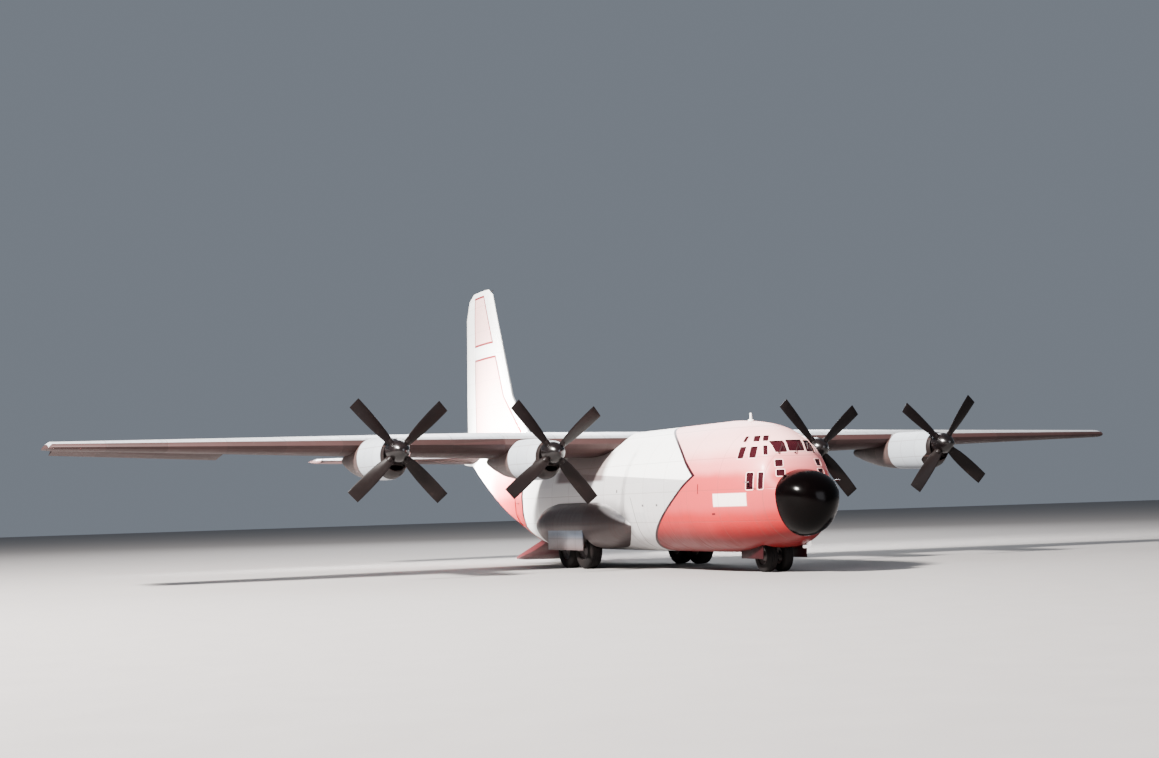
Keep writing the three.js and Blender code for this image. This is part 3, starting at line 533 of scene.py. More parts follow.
# Skin tones. The reds from deep to pale carry painted light and shade, and two dark tones are
# painted shade: one for the sponsons and one for the wing's shadow on the hull
skinTones = {
    "redDeep": (0.15, 0.0008, 0.0016),
    "red": (0.38, 0.010, 0.013),
    "rose": (0.46, 0.040, 0.044),
    "pink": (0.70, 0.175, 0.175),
    "pale": (0.88, 0.46, 0.44),
    "white": (0.92, 0.93, 0.91),
    "silver": (0.76, 0.745, 0.74),
    "silverWorn": (0.60, 0.59, 0.60),
    "line": (0.018, 0.002, 0.004),
    "grime": (0.12, 0.06, 0.05),
    "shadeAndSoot": (0.075, 0.020, 0.018),
    "sponsonShade": (0.055, 0.038, 0.038),
    "plateEdge": (0.62, 0.16, 0.16),
    "plate": (0.90, 0.74, 0.70),
}
skinPlaces = {
    # the nose's red ends on two curves that meet at an apex
    "apexY": 4.25,
    "apexZ": 2.99,
    "upperSlope": 1.35,
    "upperCurve": 0.38,
    "lowerSlope": 1.70,
    # the tail's red begins behind a straight line that leans forward near the belly
    "tailY": 18.15,
    "tailLean": 0.7,
    "tailLeanZ": (1.1, 0.35),
    "tailFrom": 12,
    # aft of this y the lower hull is painted white as well: painted light, standing for the sunlit
    # skin behind the wing's shadow
    "litStripY": 16.5,
    "whiteZ": 2.64,
    "whiteRise": 0.05,
    "whiteningY": (20.8, 23.6),
    "lineWidth": 0.09,
    # heights where the red's painted light and shade change tone, on the nose and on the tail
    "noseStops": [(1.05, "redDeep"), (1.65, "red"), (2.05, "rose"), (2.85, "rose"), (3.2, "pink"),
                  (3.95, "pale")],
    "tailStops": [(1.3, "red"), (2.3, "rose"), (2.9, "pink"), (3.8, "pale")],
    # a blank pale plate on the starboard side of the nose
    "plateY": 2.63,
    "plateZ": 2.215,
    "plateHalf": (0.64, 0.21),
    "plateRim": 0.02,
    # a thin curved line ahead of the sponson
    "sponsonLineY": 8.35,
    "sponsonLineZ": 1.6,
    "sponsonLineCurve": 0.35,
    "sponsonLineTop": 2.4,
    # the painted shade on the sponson rises aft from its tip
    "shadeY": 8.9,
    "shadeSlope": 0.36,
    # y and z of the painted shadow on the skin below the wing
    "wingShadowY": (10.8, 14.9),
    "wingShadowZ": (3.0, 4.0),
    # length and height of the plates, and how far their seams are shifted down
    "plates": (1.52, 0.95),
    "plateShift": 0.33,
    "rivetStep": 0.09,
    # y and z of small vents, with half their width and height
    "vents": [(7.67, 2.12, 0.055, 0.035), (6.64, 2.12, 0.055, 0.035), (5.68, 2.12, 0.05, 0.03),
              (3.29, 1.80, 0.07, 0.03), (3.96, 2.57, 0.022, 0.15), (9.6, 2.62, 0.04, 0.05)],
}


# Where the two ends are red, and the dark lines that bound them
def redMasks(paint):
    y, z, places = paint.y, paint.z, skinPlaces
    above = z - places["apexZ"]
    below = places["apexZ"] - z
    upperEdge = places["upperSlope"] * above + places["upperCurve"] * above * above * above
    noseEdge = places["apexY"] + paint.math("MAXIMUM", upperEdge, places["lowerSlope"] * below)
    fromNose = y - noseEdge
    fromTail = places["tailY"] - places["tailLean"] * z.below(*places["tailLeanZ"]) - y
    isRed = paint.math("MAXIMUM", fromNose.below(0, 0.006), fromTail.below(0, 0.006))
    edge = paint.math("MINIMUM", fromNose.absolute(), fromTail.absolute())
    rise = z - places["sponsonLineZ"]
    sponsonLine = (y - places["sponsonLineY"] - rise * rise * places["sponsonLineCurve"]).absolute()
    sponsonLine = sponsonLine.below(0.02, 0.012) * z.below(places["sponsonLineTop"], 0.06)
    line = paint.math("MAXIMUM", edge.below(places["lineWidth"], 0.012), sponsonLine * 0.8)
    return isRed, line


# Painted light and shade: the red is deep and dark low on the belly and grows paler with height,
# where light falls from above; at the tail it turns white aft
def paintedLightRed(paint, blotchNoise):
    places, tones = skinPlaces, skinTones
    level = paint.z + blotchNoise * 0.6
    nose, tail = (
        paint.steps(level, [(z, tones[tone]) for z, tone in places[stops]])
        for stops in ("noseStops", "tailStops")
    )
    tail = paint.mix(paint.ease(paint.y, *places["whiteningY"]), tail, tones["white"])
    return paint.mix(paint.y.above(places["tailFrom"], 0.1), nose, tail)


def addPlate(paint, color):
    places = skinPlaces
    plateY = (paint.y - places["plateY"]).absolute()
    plateZ = (paint.z - places["plateZ"]).absolute()
    starboard = paint.x.below(0, 0.1)
    for inset, tone in ((0, "plateEdge"), (places["plateRim"], "plate")):
        across, tall = (size - inset for size in places["plateHalf"])
        mask = plateY.below(across, 0.005) * plateZ.below(tall, 0.005) * starboard
        color = paint.mix(mask, color, skinTones[tone])
    return color


# The whole hull wears one paint: red ends that grow paler upwards as painted light, a white roof
# and bare metal below, white aft of the wing as painted light, and a painted shadow below the wing.
# Below a height that rises aft, the sponsons get painted shade.
def hullPaint(name="hullPaint", shadedZ=None):
    paint = Paint(name, Coat_Weight=0.05, Coat_Roughness=0.15, Specular_IOR_Level=0.3)
    y, z = paint.y, paint.z
    tones, places = skinTones, skinPlaces
    isRed, line = redMasks(paint)
    blotchNoise = paint.noise(1.3, 5) * 0.5 - 0.25
    streak = paint.noise(3.0, 4, (1, 6, 0.5))
    long, tall = places["plates"]
    rowZ = z + places["plateShift"]
    panels = paint.patches(y, z, long, tall)
    isWhite = paint.math(
        "MAXIMUM",
        (z - y * places["whiteRise"]).above(places["whiteZ"], 0.015),
        y.above(places["litStripY"], 0.01),
    )
    bareTone = paint.mix(panels * 0.6, tones["silver"], tones["silverWorn"])
    plain = paint.mix(isWhite, bareTone, tones["white"])
    color = paint.mix(isRed, plain, paintedLightRed(paint, blotchNoise))
    color = paint.mix(line, addPlate(paint, color), tones["line"])
    for ventY, ventZ, halfLong, halfTall in places["vents"]:
        vent = (y - ventY).absolute().below(halfLong, 0.01)
        vent = vent * (z - ventZ).absolute().below(halfTall, 0.01)
        color = paint.mix(vent * 0.85, color, tones["line"])
    seam = paint.math("MAXIMUM", seams(y, long), seams(rowZ, tall))
    rivet = paint.math(
        "MAXIMUM",
        rivets(z, y, places["rivetStep"], long),
        rivets(y, rowZ, places["rivetStep"], tall),
    )
    dirt = paint.ease(streak, 0.45, 0.8) * z.below(1.7, 0.9)
    # painted shade: below a height that rises aft from the sponson's tip, its skin is darkened
    if shadedZ is not None:
        slope = (y - places["shadeY"]) * places["shadeSlope"]
        sponsonShade = paint.ease(shadedZ + slope - z + blotchNoise * 0.2, -0.03, 0.10)
        color = paint.mix(sponsonShade * 0.95, color, tones["sponsonShade"])
    color = paint.mix(seam * 0.3, color, tones["grime"])
    color = paint.mix(dirt * 0.35, color, tones["grime"])
    # painted shadow: the hull side below the wing is darkened where the wing shades it
    (startY, endY), (startZ, endZ) = places["wingShadowY"], places["wingShadowZ"]
    shadeAndSoot = y.above(startY, 0.25) * y.below(endY, 0.3) * z.above(startZ, 0.06) * z.below(endZ, 0.1)
    color = paint.mix(shadeAndSoot * 0.8, color, tones["shadeAndSoot"])
    bare = (1 - isRed) * (1 - isWhite) * (1 - line)
    wear = paint.noise(9.0, 6)
    roughness = 0.34 + wear * 0.14 + dirt * 0.25 - bare * 0.04 + panels * bare * 0.1
    height = wear * 0.05 - seam + rivet * 0.6
    return paint.finish(color, roughness, bare * 0.45, height, 0.25)


# The leading edge runs straight out to the kink and then sweeps aft
wingPlaces = {
    "kinkX": 5.59, "frontY": 10.9, "sweep": 0.0424, "shadedEdgeWidth": 0.16, "tailplaneFrom": 16,
    "plates": (1.85, 1.1), "rivetStep": 0.1,
}


# Height of the surface's own facing, 1 where it faces straight up
def facingUp(paint):
    facing = Wire(paint, paint.node("ShaderNodeNewGeometry").outputs["Normal"])
    parts = paint.node("ShaderNodeSeparateXYZ", inputs={"Vector": facing}).outputs
    return Wire(paint, parts["Z"])


# Pale metal above; below and on the leading edge, dark maroon painted shade
def wingPaint():
    paint = Paint("wingPaint", Specular_IOR_Level=0.3)
    x, y = paint.x, paint.y
    across, along = wingPlaces["plates"]
    step = wingPlaces["rivetStep"]
    panels = paint.patches(x, y, across, along)
    seam = paint.math("MAXIMUM", seams(x, across), seams(y, along))
    rivet = paint.math("MAXIMUM", rivets(y, x, step, across), rivets(x, y, step, along))
    # painted shade: faces that look down, and a strip along the leading edge, take the dark maroon
    # tone
    shadedUnder = facingUp(paint).below(0.45, 0.15)
    outboard = paint.math("MAXIMUM", x.absolute() - wingPlaces["kinkX"], 0.0)
    front = wingPlaces["frontY"] + outboard * wingPlaces["sweep"]
    shadedEdge = (y - front).below(wingPlaces["shadedEdgeWidth"], 0.015)
    shadedEdge = shadedEdge * y.below(wingPlaces["tailplaneFrom"], 0.1)
    shadedUnder = paint.math("MAXIMUM", shadedUnder, shadedEdge)
    streak = paint.noise(2.2, 5, (5, 0.6, 1))
    top = paint.mix(panels, (0.78, 0.80, 0.82), (0.64, 0.66, 0.70))
    belly = paint.mix(panels, (0.046, 0.021, 0.020), (0.030, 0.014, 0.013))
    color = paint.mix(shadedUnder, top, belly)
    color = paint.mix(paint.ease(streak, 0.5, 0.85) * 0.35, color, (0.05, 0.03, 0.028))
    color = paint.mix(seam * 0.4, color, (0.03, 0.018, 0.016))
    wear = paint.noise(11.0, 6)
    roughness = 0.32 + wear * 0.16 + panels * 0.08 + shadedUnder * 0.16
    height = wear * 0.05 - seam + rivet * 0.6
    return paint.finish(color, roughness, 0.7 - shadedUnder * 0.6, height, 0.25)


finPlaces = {
    "bandLow": 8.66, "bandHigh": 9.30, "strip": 0.30, "stripGrowth": 0.07, "top": 11.40,
    "low": 4.9, "rudderY": 28.22, "lineWidth": 0.045,
    # a point of the fin's leading edge and of its root fillet, with their slopes
    "leading": (24.35, 6.88, 0.4326), "root": (22.69, 5.3, 1.05),
}


# White, with two pale pink panels in thin dark outlines, above the red of the tail; the pale pink
# is painted light, red paint shown washed pale by strong light
def finPaint():
    paint = Paint("finPaint", Coat_Weight=0.05, Coat_Roughness=0.12, Specular_IOR_Level=0.3)
    y, z = paint.y, paint.z
    places = finPlaces
    leading, root = (
        startY + (z - startZ) * slope
        for startY, startZ, slope in (places["leading"], places["root"])
    )
    strip = places["strip"] + (z - places["root"][1]) * places["stripGrowth"]
    toEdge = y - (paint.math("MINIMUM", leading, root) + strip)
    toBand = (z - (places["bandLow"] + places["bandHigh"]) / 2).absolute()
    toBand = toBand - (places["bandHigh"] - places["bandLow"]) / 2
    inside = toEdge
    for distance in (toBand, places["top"] - z, z - places["low"], places["rudderY"] - y):
        inside = paint.math("MINIMUM", inside, distance)
    panel = inside.above(0.0, 0.01)
    outline = inside.absolute().below(places["lineWidth"], 0.012)
    blotchNoise = paint.noise(1.1, 5)
    pink = paint.mix(blotchNoise, (0.88, 0.50, 0.47), (0.91, 0.63, 0.60))
    color = paint.mix(panel, skinTones["white"], pink)
    color = paint.mix(outline, color, (0.22, 0.012, 0.02))
    seam = paint.math("MAXIMUM", seams(z, 1.1), seams(y, 1.9))
    rivet = rivets(y, z, 0.1, 1.1)
    color = paint.mix(seam * 0.2, color, skinTones["grime"])
    wear = paint.noise(10.0, 6)
    return paint.finish(color, 0.34 + wear * 0.14, None, wear * 0.05 - seam + rivet * 0.6, 0.22)


# where the cowl's painted shade lies: the lip, deeper at the chin, and the tail aft of the wing's
# leading edge
cowlPlaces = {"lipY": 8.74, "chinY": 0.36, "chinZ": (3.45, 3.75), "shadowFromY": 11.0}


# Pale grey, with painted shade on the dark lip and chin, standing for the shaded intake mouth, and
# a dark tail that is the wing's painted shadow, with soot streaks
def cowlPaint():
    paint = Paint("cowlPaint", Metallic=0.1, Specular_IOR_Level=0.35)
    y, z = paint.y, paint.z
    panels = paint.patches(y, z, 0.85, 0.6)
    seam = paint.math("MAXIMUM", seams(y, 0.85), seams(z, 0.6))
    rivet = rivets(z, y, 0.08, 0.85)
    # soot streaks over the painted shade of the tail
    shadeAndSoot = paint.ease(y, 11.4, 13.6) * paint.ease(paint.noise(2.0, 5, (2, 0.5, 2)), 0.25, 0.7)
    front = paint.mix(panels * 0.6, (0.43, 0.465, 0.50), (0.37, 0.40, 0.44))
    shadedTail = paint.mix(panels, (0.055, 0.034, 0.032), (0.085, 0.055, 0.050))
    # painted shadow of the wing: aft of the wing's leading edge the cowl is dark
    color = paint.mix(y.above(cowlPlaces["shadowFromY"], 0.015), front, shadedTail)
    # painted shade: the lip and chin are darkened, standing in for the shaded mouth of the intake
    chin = (1 - paint.ease(z, *cowlPlaces["chinZ"])) * cowlPlaces["chinY"]
    lip = (y - chin).below(cowlPlaces["lipY"], 0.012)
    color = paint.mix(lip, color, (0.010, 0.006, 0.0055))
    color = paint.mix(shadeAndSoot * 0.7, color, (0.020, 0.015, 0.013))
    color = paint.mix(seam * 0.4, color, skinTones["grime"])
    wear = paint.noise(12.0, 6)
    roughness = 0.36 + wear * 0.16 + shadeAndSoot * 0.2
    return paint.finish(color, roughness, None, wear * 0.05 - seam + rivet * 0.5, 0.25)


def wornPaint(name, base, worn, roughness, metallic=0.0, scale=14.0, bump=0.12, **fixed):
    paint = Paint(name, Metallic=metallic, **fixed)
    broad = paint.noise(scale * 0.25, 4)
    fine = paint.noise(scale, 6)
    color = paint.mix(paint.ease(broad * 0.6 + fine * 0.4, 0.42, 0.72), base, worn)
    return paint.finish(color, roughness - 0.08 + fine * 0.18, None, fine, bump, 0.002)


def bladePaint():
    paint = Paint("bladePaint", Specular_IOR_Level=0.15)
    fine = paint.noise(16.0, 6)
    broad = paint.noise(3.0, 4)
    color = paint.mix(broad, (0.0035, 0.002, 0.002), (0.009, 0.0055, 0.005))
    color = paint.mix(paint.ease(fine, 0.62, 0.8) * 0.4, color, (0.035, 0.022, 0.020))
    return paint.finish(color, 0.34 + fine * 0.18, None, fine, 0.08, 0.002)


def tyrePaint():
    paint = Paint("tyrePaint", Specular_IOR_Level=0.15)
    fine = paint.noise(40.0, 6)
    dust = paint.ease(paint.noise(5.0, 5), 0.4, 0.75)
    color = paint.mix(dust * 0.6, (0.005, 0.004, 0.004), (0.016, 0.011, 0.010))
    return paint.finish(color, 0.72 + fine * 0.2, None, fine, 0.35, 0.002)


def glassPaint():
    paint = Paint("glassPaint", IOR=1.5, Alpha=0.72, Specular_IOR_Level=0.4)
    smear = paint.noise(6.0, 5)
    color = paint.mix(smear, (0.020, 0.003, 0.005), (0.05, 0.008, 0.012))
    return paint.finish(color, 0.06 + smear * 0.06)


# tones of the ramp's painted light and shade, and of scuffs on its top
rampTones = {
    "dark": (0.060, 0.003, 0.005),
    "pale": (0.80, 0.50, 0.47),
    "scuff": (0.42, 0.25, 0.235),
}


# Painted light and shade: pale on top where light falls, deep red on its shaded sides
def rampPaint():
    paint = Paint("rampPaint", Specular_IOR_Level=0.3)
    scuff = paint.ease(paint.noise(4.0, 6, (1, 0.3, 1)), 0.45, 0.8)
    top = paint.mix(scuff, rampTones["pale"], rampTones["scuff"])
    # painted light and shade: pale where the ramp faces up, deep red where it faces sideways or
    # down
    color = paint.mix(facingUp(paint).above(0.5, 0.1), rampTones["dark"], top)
    fine = paint.noise(16.0, 6)
    return paint.finish(color, 0.42 + fine * 0.2, None, fine, 0.12, 0.003)


# Painted reflection and shade: bright bluish metal above, as if reflecting the sky, and a duller,
# pinkish grey below in shade, as (height, tone)
gearDoorLightStops = [
    (0.66, (0.16, 0.12, 0.12)), (1.0, (0.22, 0.20, 0.21)), (1.18, (0.20, 0.24, 0.31)),
    (1.4, (0.40, 0.47, 0.56)),
]


def gearDoorPaint():
    paint = Paint("gearDoorPaint")
    level = paint.z + paint.noise(2.0, 4) * 0.16 - 0.08
    seam = paint.math("MAXIMUM", seams(paint.y, 0.79), seams(paint.z, 0.35, 0.008))
    color = paint.steps(level, gearDoorLightStops)
    color = paint.mix(seam * 0.6, color, (0.03, 0.02, 0.02))
    fine = paint.noise(14.0, 6)
    return paint.finish(color, 0.34 + fine * 0.15, 0.4 + fine * 0.1, fine * 0.2 - seam, 0.2)


def deckPaint():
    paint = Paint("deckPaint", Metallic=0.2)
    grid = paint.math("MAXIMUM", seams(paint.x, 0.5, 0.01), seams(paint.y, 0.5, 0.01))
    fine = paint.noise(20.0, 6)
    scuff = paint.ease(paint.noise(4.0, 6, (1, 0.3, 1)), 0.45, 0.75)
    color = paint.mix(scuff, (0.24, 0.27, 0.24), (0.36, 0.37, 0.34))
    color = paint.mix(grid * 0.5, color, (0.06, 0.06, 0.05))
    return paint.finish(color, 0.5 + fine * 0.2, None, fine * 0.2 - grid, 0.3)


paints = {
    "hull": hullPaint(),
    # the sponsons' paint adds painted shade below a height of 1.55 m
    "sponson": hullPaint("sponsonPaint", 1.55),
    "ramp": rampPaint(),
    "gearDoor": gearDoorPaint(),
    "wing": wingPaint(),
    "fin": finPaint(),
    "cowl": cowlPaint(),
    "radome": wornPaint(
        "radomePaint", (0.0008, 0.0004, 0.0004), (0.0014, 0.0007, 0.0007), 0.17,
        scale=7.0, bump=0.02, Specular_IOR_Level=0.08,
    ),
    "blade": bladePaint(),
    "hub": wornPaint(
        "hubPaint", (0.003, 0.002, 0.002), (0.008, 0.005, 0.005), 0.22,
        bump=0.05, Specular_IOR_Level=0.5,
    ),
    "steel": wornPaint("gearSteel", (0.10, 0.085, 0.085), (0.04, 0.03, 0.028), 0.42, 0.5),
    "polished": wornPaint("polishedRod", (0.72, 0.73, 0.74), (0.55, 0.55, 0.56), 0.20, 1.0),
    "dark": wornPaint("darkMetal", (0.022, 0.016, 0.015), (0.05, 0.038, 0.035), 0.46, 0.3),
    "tyre": tyrePaint(),
    "glass": glassPaint(),
    "deck": deckPaint(),
    "cabin": wornPaint("cabinPaint", (0.20, 0.24, 0.19), (0.27, 0.29, 0.24), 0.55),
    "seat": wornPaint(
        "seatCloth", (0.10, 0.11, 0.07), (0.17, 0.17, 0.12), 0.85, scale=60.0, bump=0.5
    ),
    # the red nose gear doors painted near black: painted shade of the hull's shadow over them
    "shadedRed": wornPaint(
        "shadedGearDoorRed", (0.020, 0.0015, 0.0025), (0.010, 0.001, 0.0015), 0.45, Specular_IOR_Level=0.2
    ),
    # pale pink, the tone the painted light gives the red around the windows
    "frame": wornPaint("windowFrame", (0.84, 0.50, 0.47), (0.74, 0.36, 0.34), 0.38),
    "whiteTrim": wornPaint("whiteTrim", (0.80, 0.80, 0.78), (0.62, 0.60, 0.57), 0.35),
    # glows so the taxi lamp with its arm and foot reads white in the shade under the belly: painted
    # light
    "glow": wornPaint(
        "litLampPaint", (0.80, 0.80, 0.78), (0.70, 0.68, 0.66), 0.3,
        Emission_Color=(1.0, 0.93, 0.90, 1), Emission_Strength=0.9,
    ),
    "redLamp": wornPaint(
        "redLamp", (0.45, 0.01, 0.01), (0.35, 0.01, 0.01), 0.12, Coat_Weight=0.7
    ),
    "greenLamp": wornPaint(
        "greenLamp", (0.01, 0.30, 0.08), (0.01, 0.22, 0.06), 0.12, Coat_Weight=0.7
    ),
}
print("materials made")

# Hull: y, half width, top, bottom, height of the widest line, and the power of the curve of its
# lower half, which is an ellipse at 2 and grows squarer from there
hullRows = [
    (1.20, 0.95, 3.06, 1.08, 2.34, 2.0),
    (1.38, 1.09, 3.50, 1.00, 2.34, 2.07),
    (1.65, 1.27, 3.96, 0.91, 2.34, 2.2),
    (2.10, 1.52, 4.20, 0.79, 2.35, 2.4),
    (2.70, 1.76, 4.42, 0.69, 2.39, 2.6),
    (3.50, 1.98, 4.58, 0.62, 2.46, 2.8),
    (4.50, 2.13, 4.68, 0.59, 2.52, 2.8),
    (4.93, 2.16, 4.70, 0.58, 2.54, 2.8),
    (17.42, 2.16, 4.70, 0.58, 2.54, 2.8),
    (19.00, 2.14, 4.70, 1.24, 2.65, 3.6),
    (20.80, 2.04, 4.72, 1.98, 2.90, 4.4),
    (22.50, 1.86, 4.73, 2.75, 3.20, 4.4),
    (24.00, 1.64, 4.73, 3.35, 3.55, 3.8),
    (25.50, 1.33, 4.72, 3.78, 3.95, 3.0),
    (27.50, 0.88, 4.68, 4.03, 4.28, 2.4),
    (29.20, 0.48, 4.59, 4.08, 4.35, 2.0),
    (29.79, 0.30, 4.52, 4.12, 4.35, 2.0),
]
hullSettings = {
    "sides": 72,
    "squareness": 2.8,
    "wall": 0.11,
    "aftWall": 0.078,
    "seat": 0.0012,
    "noseJointY": 1.2,
    "centerJointY": 4.93,
    "aftJointY": 17.42,
    "noseStep": 0.13,
    "middleStep": 1.4,
    "aftStep": 0.45,
}


# A table's row at a station, on a smooth curve that never overshoots its rows
def smoothRow(rows, station):
    last = len(rows) - 1
    index = next((i for i in range(1, last + 1) if rows[i][0] >= station), last)
    lower, upper = rows[index - 1], rows[index]
    before, after = rows[max(index - 2, 0)], rows[min(index + 1, last)]
    gap = upper[0] - lower[0]
    share = min(max((station - lower[0]) / gap, 0), 1)
    values = [station]
    for a, b, c, d in zip(before[1:], lower[1:], upper[1:], after[1:]):
        slope = (c - b) / gap
        start = slope if before is lower else (b - a) / (lower[0] - before[0])
        end = slope if after is upper else (d - c) / (after[0] - upper[0])
        start = 0 if start * slope <= 0 else 2 * start * slope / (start + slope)
        end = 0 if end * slope <= 0 else 2 * end * slope / (end + slope)
        u, v = share, 1 - share
        values.append(
            b * (1 + 2 * u) * v * v + c * u * u * (3 - 2 * u)
            + gap * (start * u * v * v - end * u * u * v)
        )
    return values


def stationsBetween(start, end, step):
    count = max(1, round((end - start) / step))
    return [start + (end - start) * i / count for i in range(count + 1)]


# A place of a loft from half a width, top, bottom and the height of the widest line
def ovalPlace(y, width, top, bottom, waist, inset=0.0):
    sizes = (width - inset, top - waist - inset, waist - bottom - inset)
    return at(0, y, waist), *(size * half for size in sizes)


def hullLoft(name, stations, inset=0.0, caps=(False, False)):
    settings = hullSettings
    places, changes = [], []
    for y in stations:
        *row, power = smoothRow(hullRows, y)
        places.append(ovalPlace(*row, inset))
        changes.append(2 / power - 2 / settings["squareness"])
    outline = roundOutline(settings["sides"], settings["squareness"])
    return loft(name, outline, places, caps, changes=changes)


# Half the width of the hull at a height
def skinX(y, z):
    _, width, top, bottom, waist, power = smoothRow(hullRows, y)
    share = (z - waist) / (top - waist) if z > waist else (waist - z) / (waist - bottom)
    power = 2 if z > waist else power
    return width * max(1 - share ** power, 0) ** (1 / power)


# How far aft the skin of the nose lies at a place across and a height
def skinY(x, z):
    low, high = 1.2, 6.0
    for _ in range(30):
        middle = (low + high) / 2
        inside = z < smoothRow(hullRows, middle)[2] and skinX(middle, z) > x
        low, high = (low, middle) if inside else (middle, high)
    return high


# A length of hull skin with its wall inside it
def hullShell(name, stations, wall, endCap=False):
    piece = hullLoft(name, stations, 0.0, (False, endCap))
    return walled(piece, wall, use_even_offset=True)


def shellBetween(name, stations, inset, thickness):
    return walled(hullLoft(name, stations, inset), thickness)


# Flight deck windows: heading of the way out in degrees from straight ahead, from and to along the
# pane, low and high edge, forward lean of the low edge, how far out the pane lies
windowRows = [
    (0, 0.33, 0.68, 3.58, 3.93, 0.0, -1.6),
    (45, 1.79, 1.93, 3.51, 3.80, 0.06, -0.69),
    (60, 2.24, 2.48, 3.44, 3.78, 0.04, -0.12),
    (62, 2.68, 2.90, 3.43, 3.785, 0.0, -0.03),
    (50, 1.93, 2.11, 3.935, 4.11, 0.05, -0.86),
    (58, 2.30, 2.51, 3.935, 4.11, 0.05, -0.55),
    (62, 2.77, 2.89, 3.93, 4.11, 0.0, -0.34),
    (25, 1.08, 1.31, 3.155, 3.355, 0.0, -0.99),
    (30, 1.12, 1.36, 2.87, 3.06, 0.0, -0.84),
    (60, 2.23, 2.47, 2.50, 3.00, 0.0, 0.21),
    (55, 1.91, 2.08, 2.50, 3.00, 0.0, 0.03),
]
centerWindow = (0, -0.27, 0.27, 3.61, 3.95, 0.0, -1.5)
windowSettings = {"corner": 0.03, "depth": 0.45, "reach": 0.4, "rim": 0.028, "rimProud": 0.008}


def windowCutter(row, grow):
    heading, start, end, low, high, lean, out = row
    turn = math.radians(heading)
    way = Vector((math.sin(turn), -math.cos(turn), 0))
    along = Vector((math.cos(turn), math.sin(turn), 0))
    settings = windowSettings
    deep = settings["depth"] + settings["reach"]
    middle = out + (settings["reach"] - settings["depth"]) / 2
    bpy.ops.mesh.primitive_cube_add(size=1)
    piece = bpy.context.object
    piece.scale = (end - start + 2 * grow, deep, high - low + 2 * grow)
    settle(piece)
    edit(piece)
    selectWhere(piece, "verts", lambda v: v.co.z > 0)
    bpy.ops.transform.translate(value=(lean, 0, 0))
    selectWhere(
        piece, "edges", lambda e: abs(e.verts[0].co.y - e.verts[1].co.y) > deep * 0.5
    )
    bpy.ops.mesh.bevel(offset=settings["corner"] + grow, segments=3, affect="EDGES")
    bpy.ops.object.mode_set(mode="OBJECT")
    center = along * (start + end) / 2 + way * middle
    center.z = (low + high) / 2
    facing = Matrix((along, -way, (0, 0, 1))).transposed().to_4x4()
    grown = Matrix.Translation(at(0, 0, 0)) @ Matrix.Scale(half, 4)
    piece.matrix_world = grown @ Matrix.Translation(center) @ facing
    return settle(piece)


def windowCutters(name, grow=0.0):
    port = [windowCutter(row, grow) for row in windowRows]
    starboard = [mirrorOf(piece, "starboardPane") for piece in port]
    return joinAll(name, [windowCutter(centerWindow, grow), *port, *starboard])


doorSettings = {
    "crewY": (3.45, 4.25),
    "crewZ": (0.96, 2.40),
    "crewX": (1.0, 2.6),
    "sideY": (18.0, 18.9),
    "sideZ": (1.5, 3.2),
    "sideX": (1.2, 2.6),
}
noseSettings = {
    "glassToY": 3.3,
    "glassInset": 0.03,
    "glassThickness": 0.03,
    "frameThickness": 0.05,
    "well": ((-0.72, 2.31, 0), (0.72, 3.75, 1.3)),
}


def makeNose():
    settings, nose, doors = hullSettings, noseSettings, doorSettings
    stations = stationsBetween(
        settings["noseJointY"] + 0.001, settings["centerJointY"] - settings["seat"],
        settings["noseStep"],
    )
    skin = hullShell("noseSkin", stations, settings["wall"])
    cutters = windowCutters("windowHoles")
    grown = windowCutters("windowRims", windowSettings["rim"])
    glassY = [y for y in stations if y < nose["glassToY"]]
    glass = shellBetween("cockpitPanes", glassY, nose["glassInset"], nose["glassThickness"])
    cutWith(glass, cutters, "INTERSECT", keep=True, crossing=True)
    rims = shellBetween(
        "windowFrames", glassY, -windowSettings["rimProud"], nose["frameThickness"]
    )
    cutWith(rims, grown, "INTERSECT", crossing=True)
    cutWith(rims, cutters, keep=True, crossing=True)
    cutWith(skin, cutters, crossing=True)
    cutWith(skin, boxPiece("noseWellHole", *nose["well"]))
    first, last = zip(doors["crewX"], doors["crewY"], doors["crewZ"])
    cutWith(skin, boxPiece("crewDoorHole", first, last))
    finishPiece(skin, "airframe", paints["hull"], ["fuselage_nose"])
    finishPiece(glass, "airframe", paints["glass"], ["cockpit_glazing"])
    finishPiece(rims, "airframe", paints["frame"])
    print("nose made")


radomeSettings = {"steps": 22, "power": 2.2, "tipZ": 2.09, "smallest": 0.012}


def makeRadome():
    settings = radomeSettings
    joint = hullSettings["noseJointY"]
    _, width, top, bottom, waist, power = smoothRow(hullRows, joint)
    places = []
    for index in range(settings["steps"] + 1):
        y = joint * (1 - math.cos(index / settings["steps"] * math.pi / 2))
        share = (1 - (1 - y / joint) ** settings["power"]) ** (1 / settings["power"])
        share = max(share, settings["smallest"])
        z = settings["tipZ"] + (waist - settings["tipZ"]) * share
        places.append((
            at(0, min(y, joint - 0.001), z),
            width * share * half,
            (top - waist) * share * half,
            (waist - bottom) * share * half,
        ))
    outline = roundOutline(hullSettings["sides"], power)
    piece = loft("radomeShell", outline, places)
    finishPiece(piece, "airframe", paints["radome"], ["radome"], 60)
    print("radome made")


wellSettings = {"innerX": 1.86, "outerX": 2.6, "fromY": 11.15, "toY": 14.37, "topZ": 1.56}


def wellCutter(way):
    settings = wellSettings
    return boxBetween(
        "wellHole", (way * settings["innerX"], settings["fromY"], -0.2),
        (way * settings["outerX"], settings["toY"], settings["topZ"]),
    )


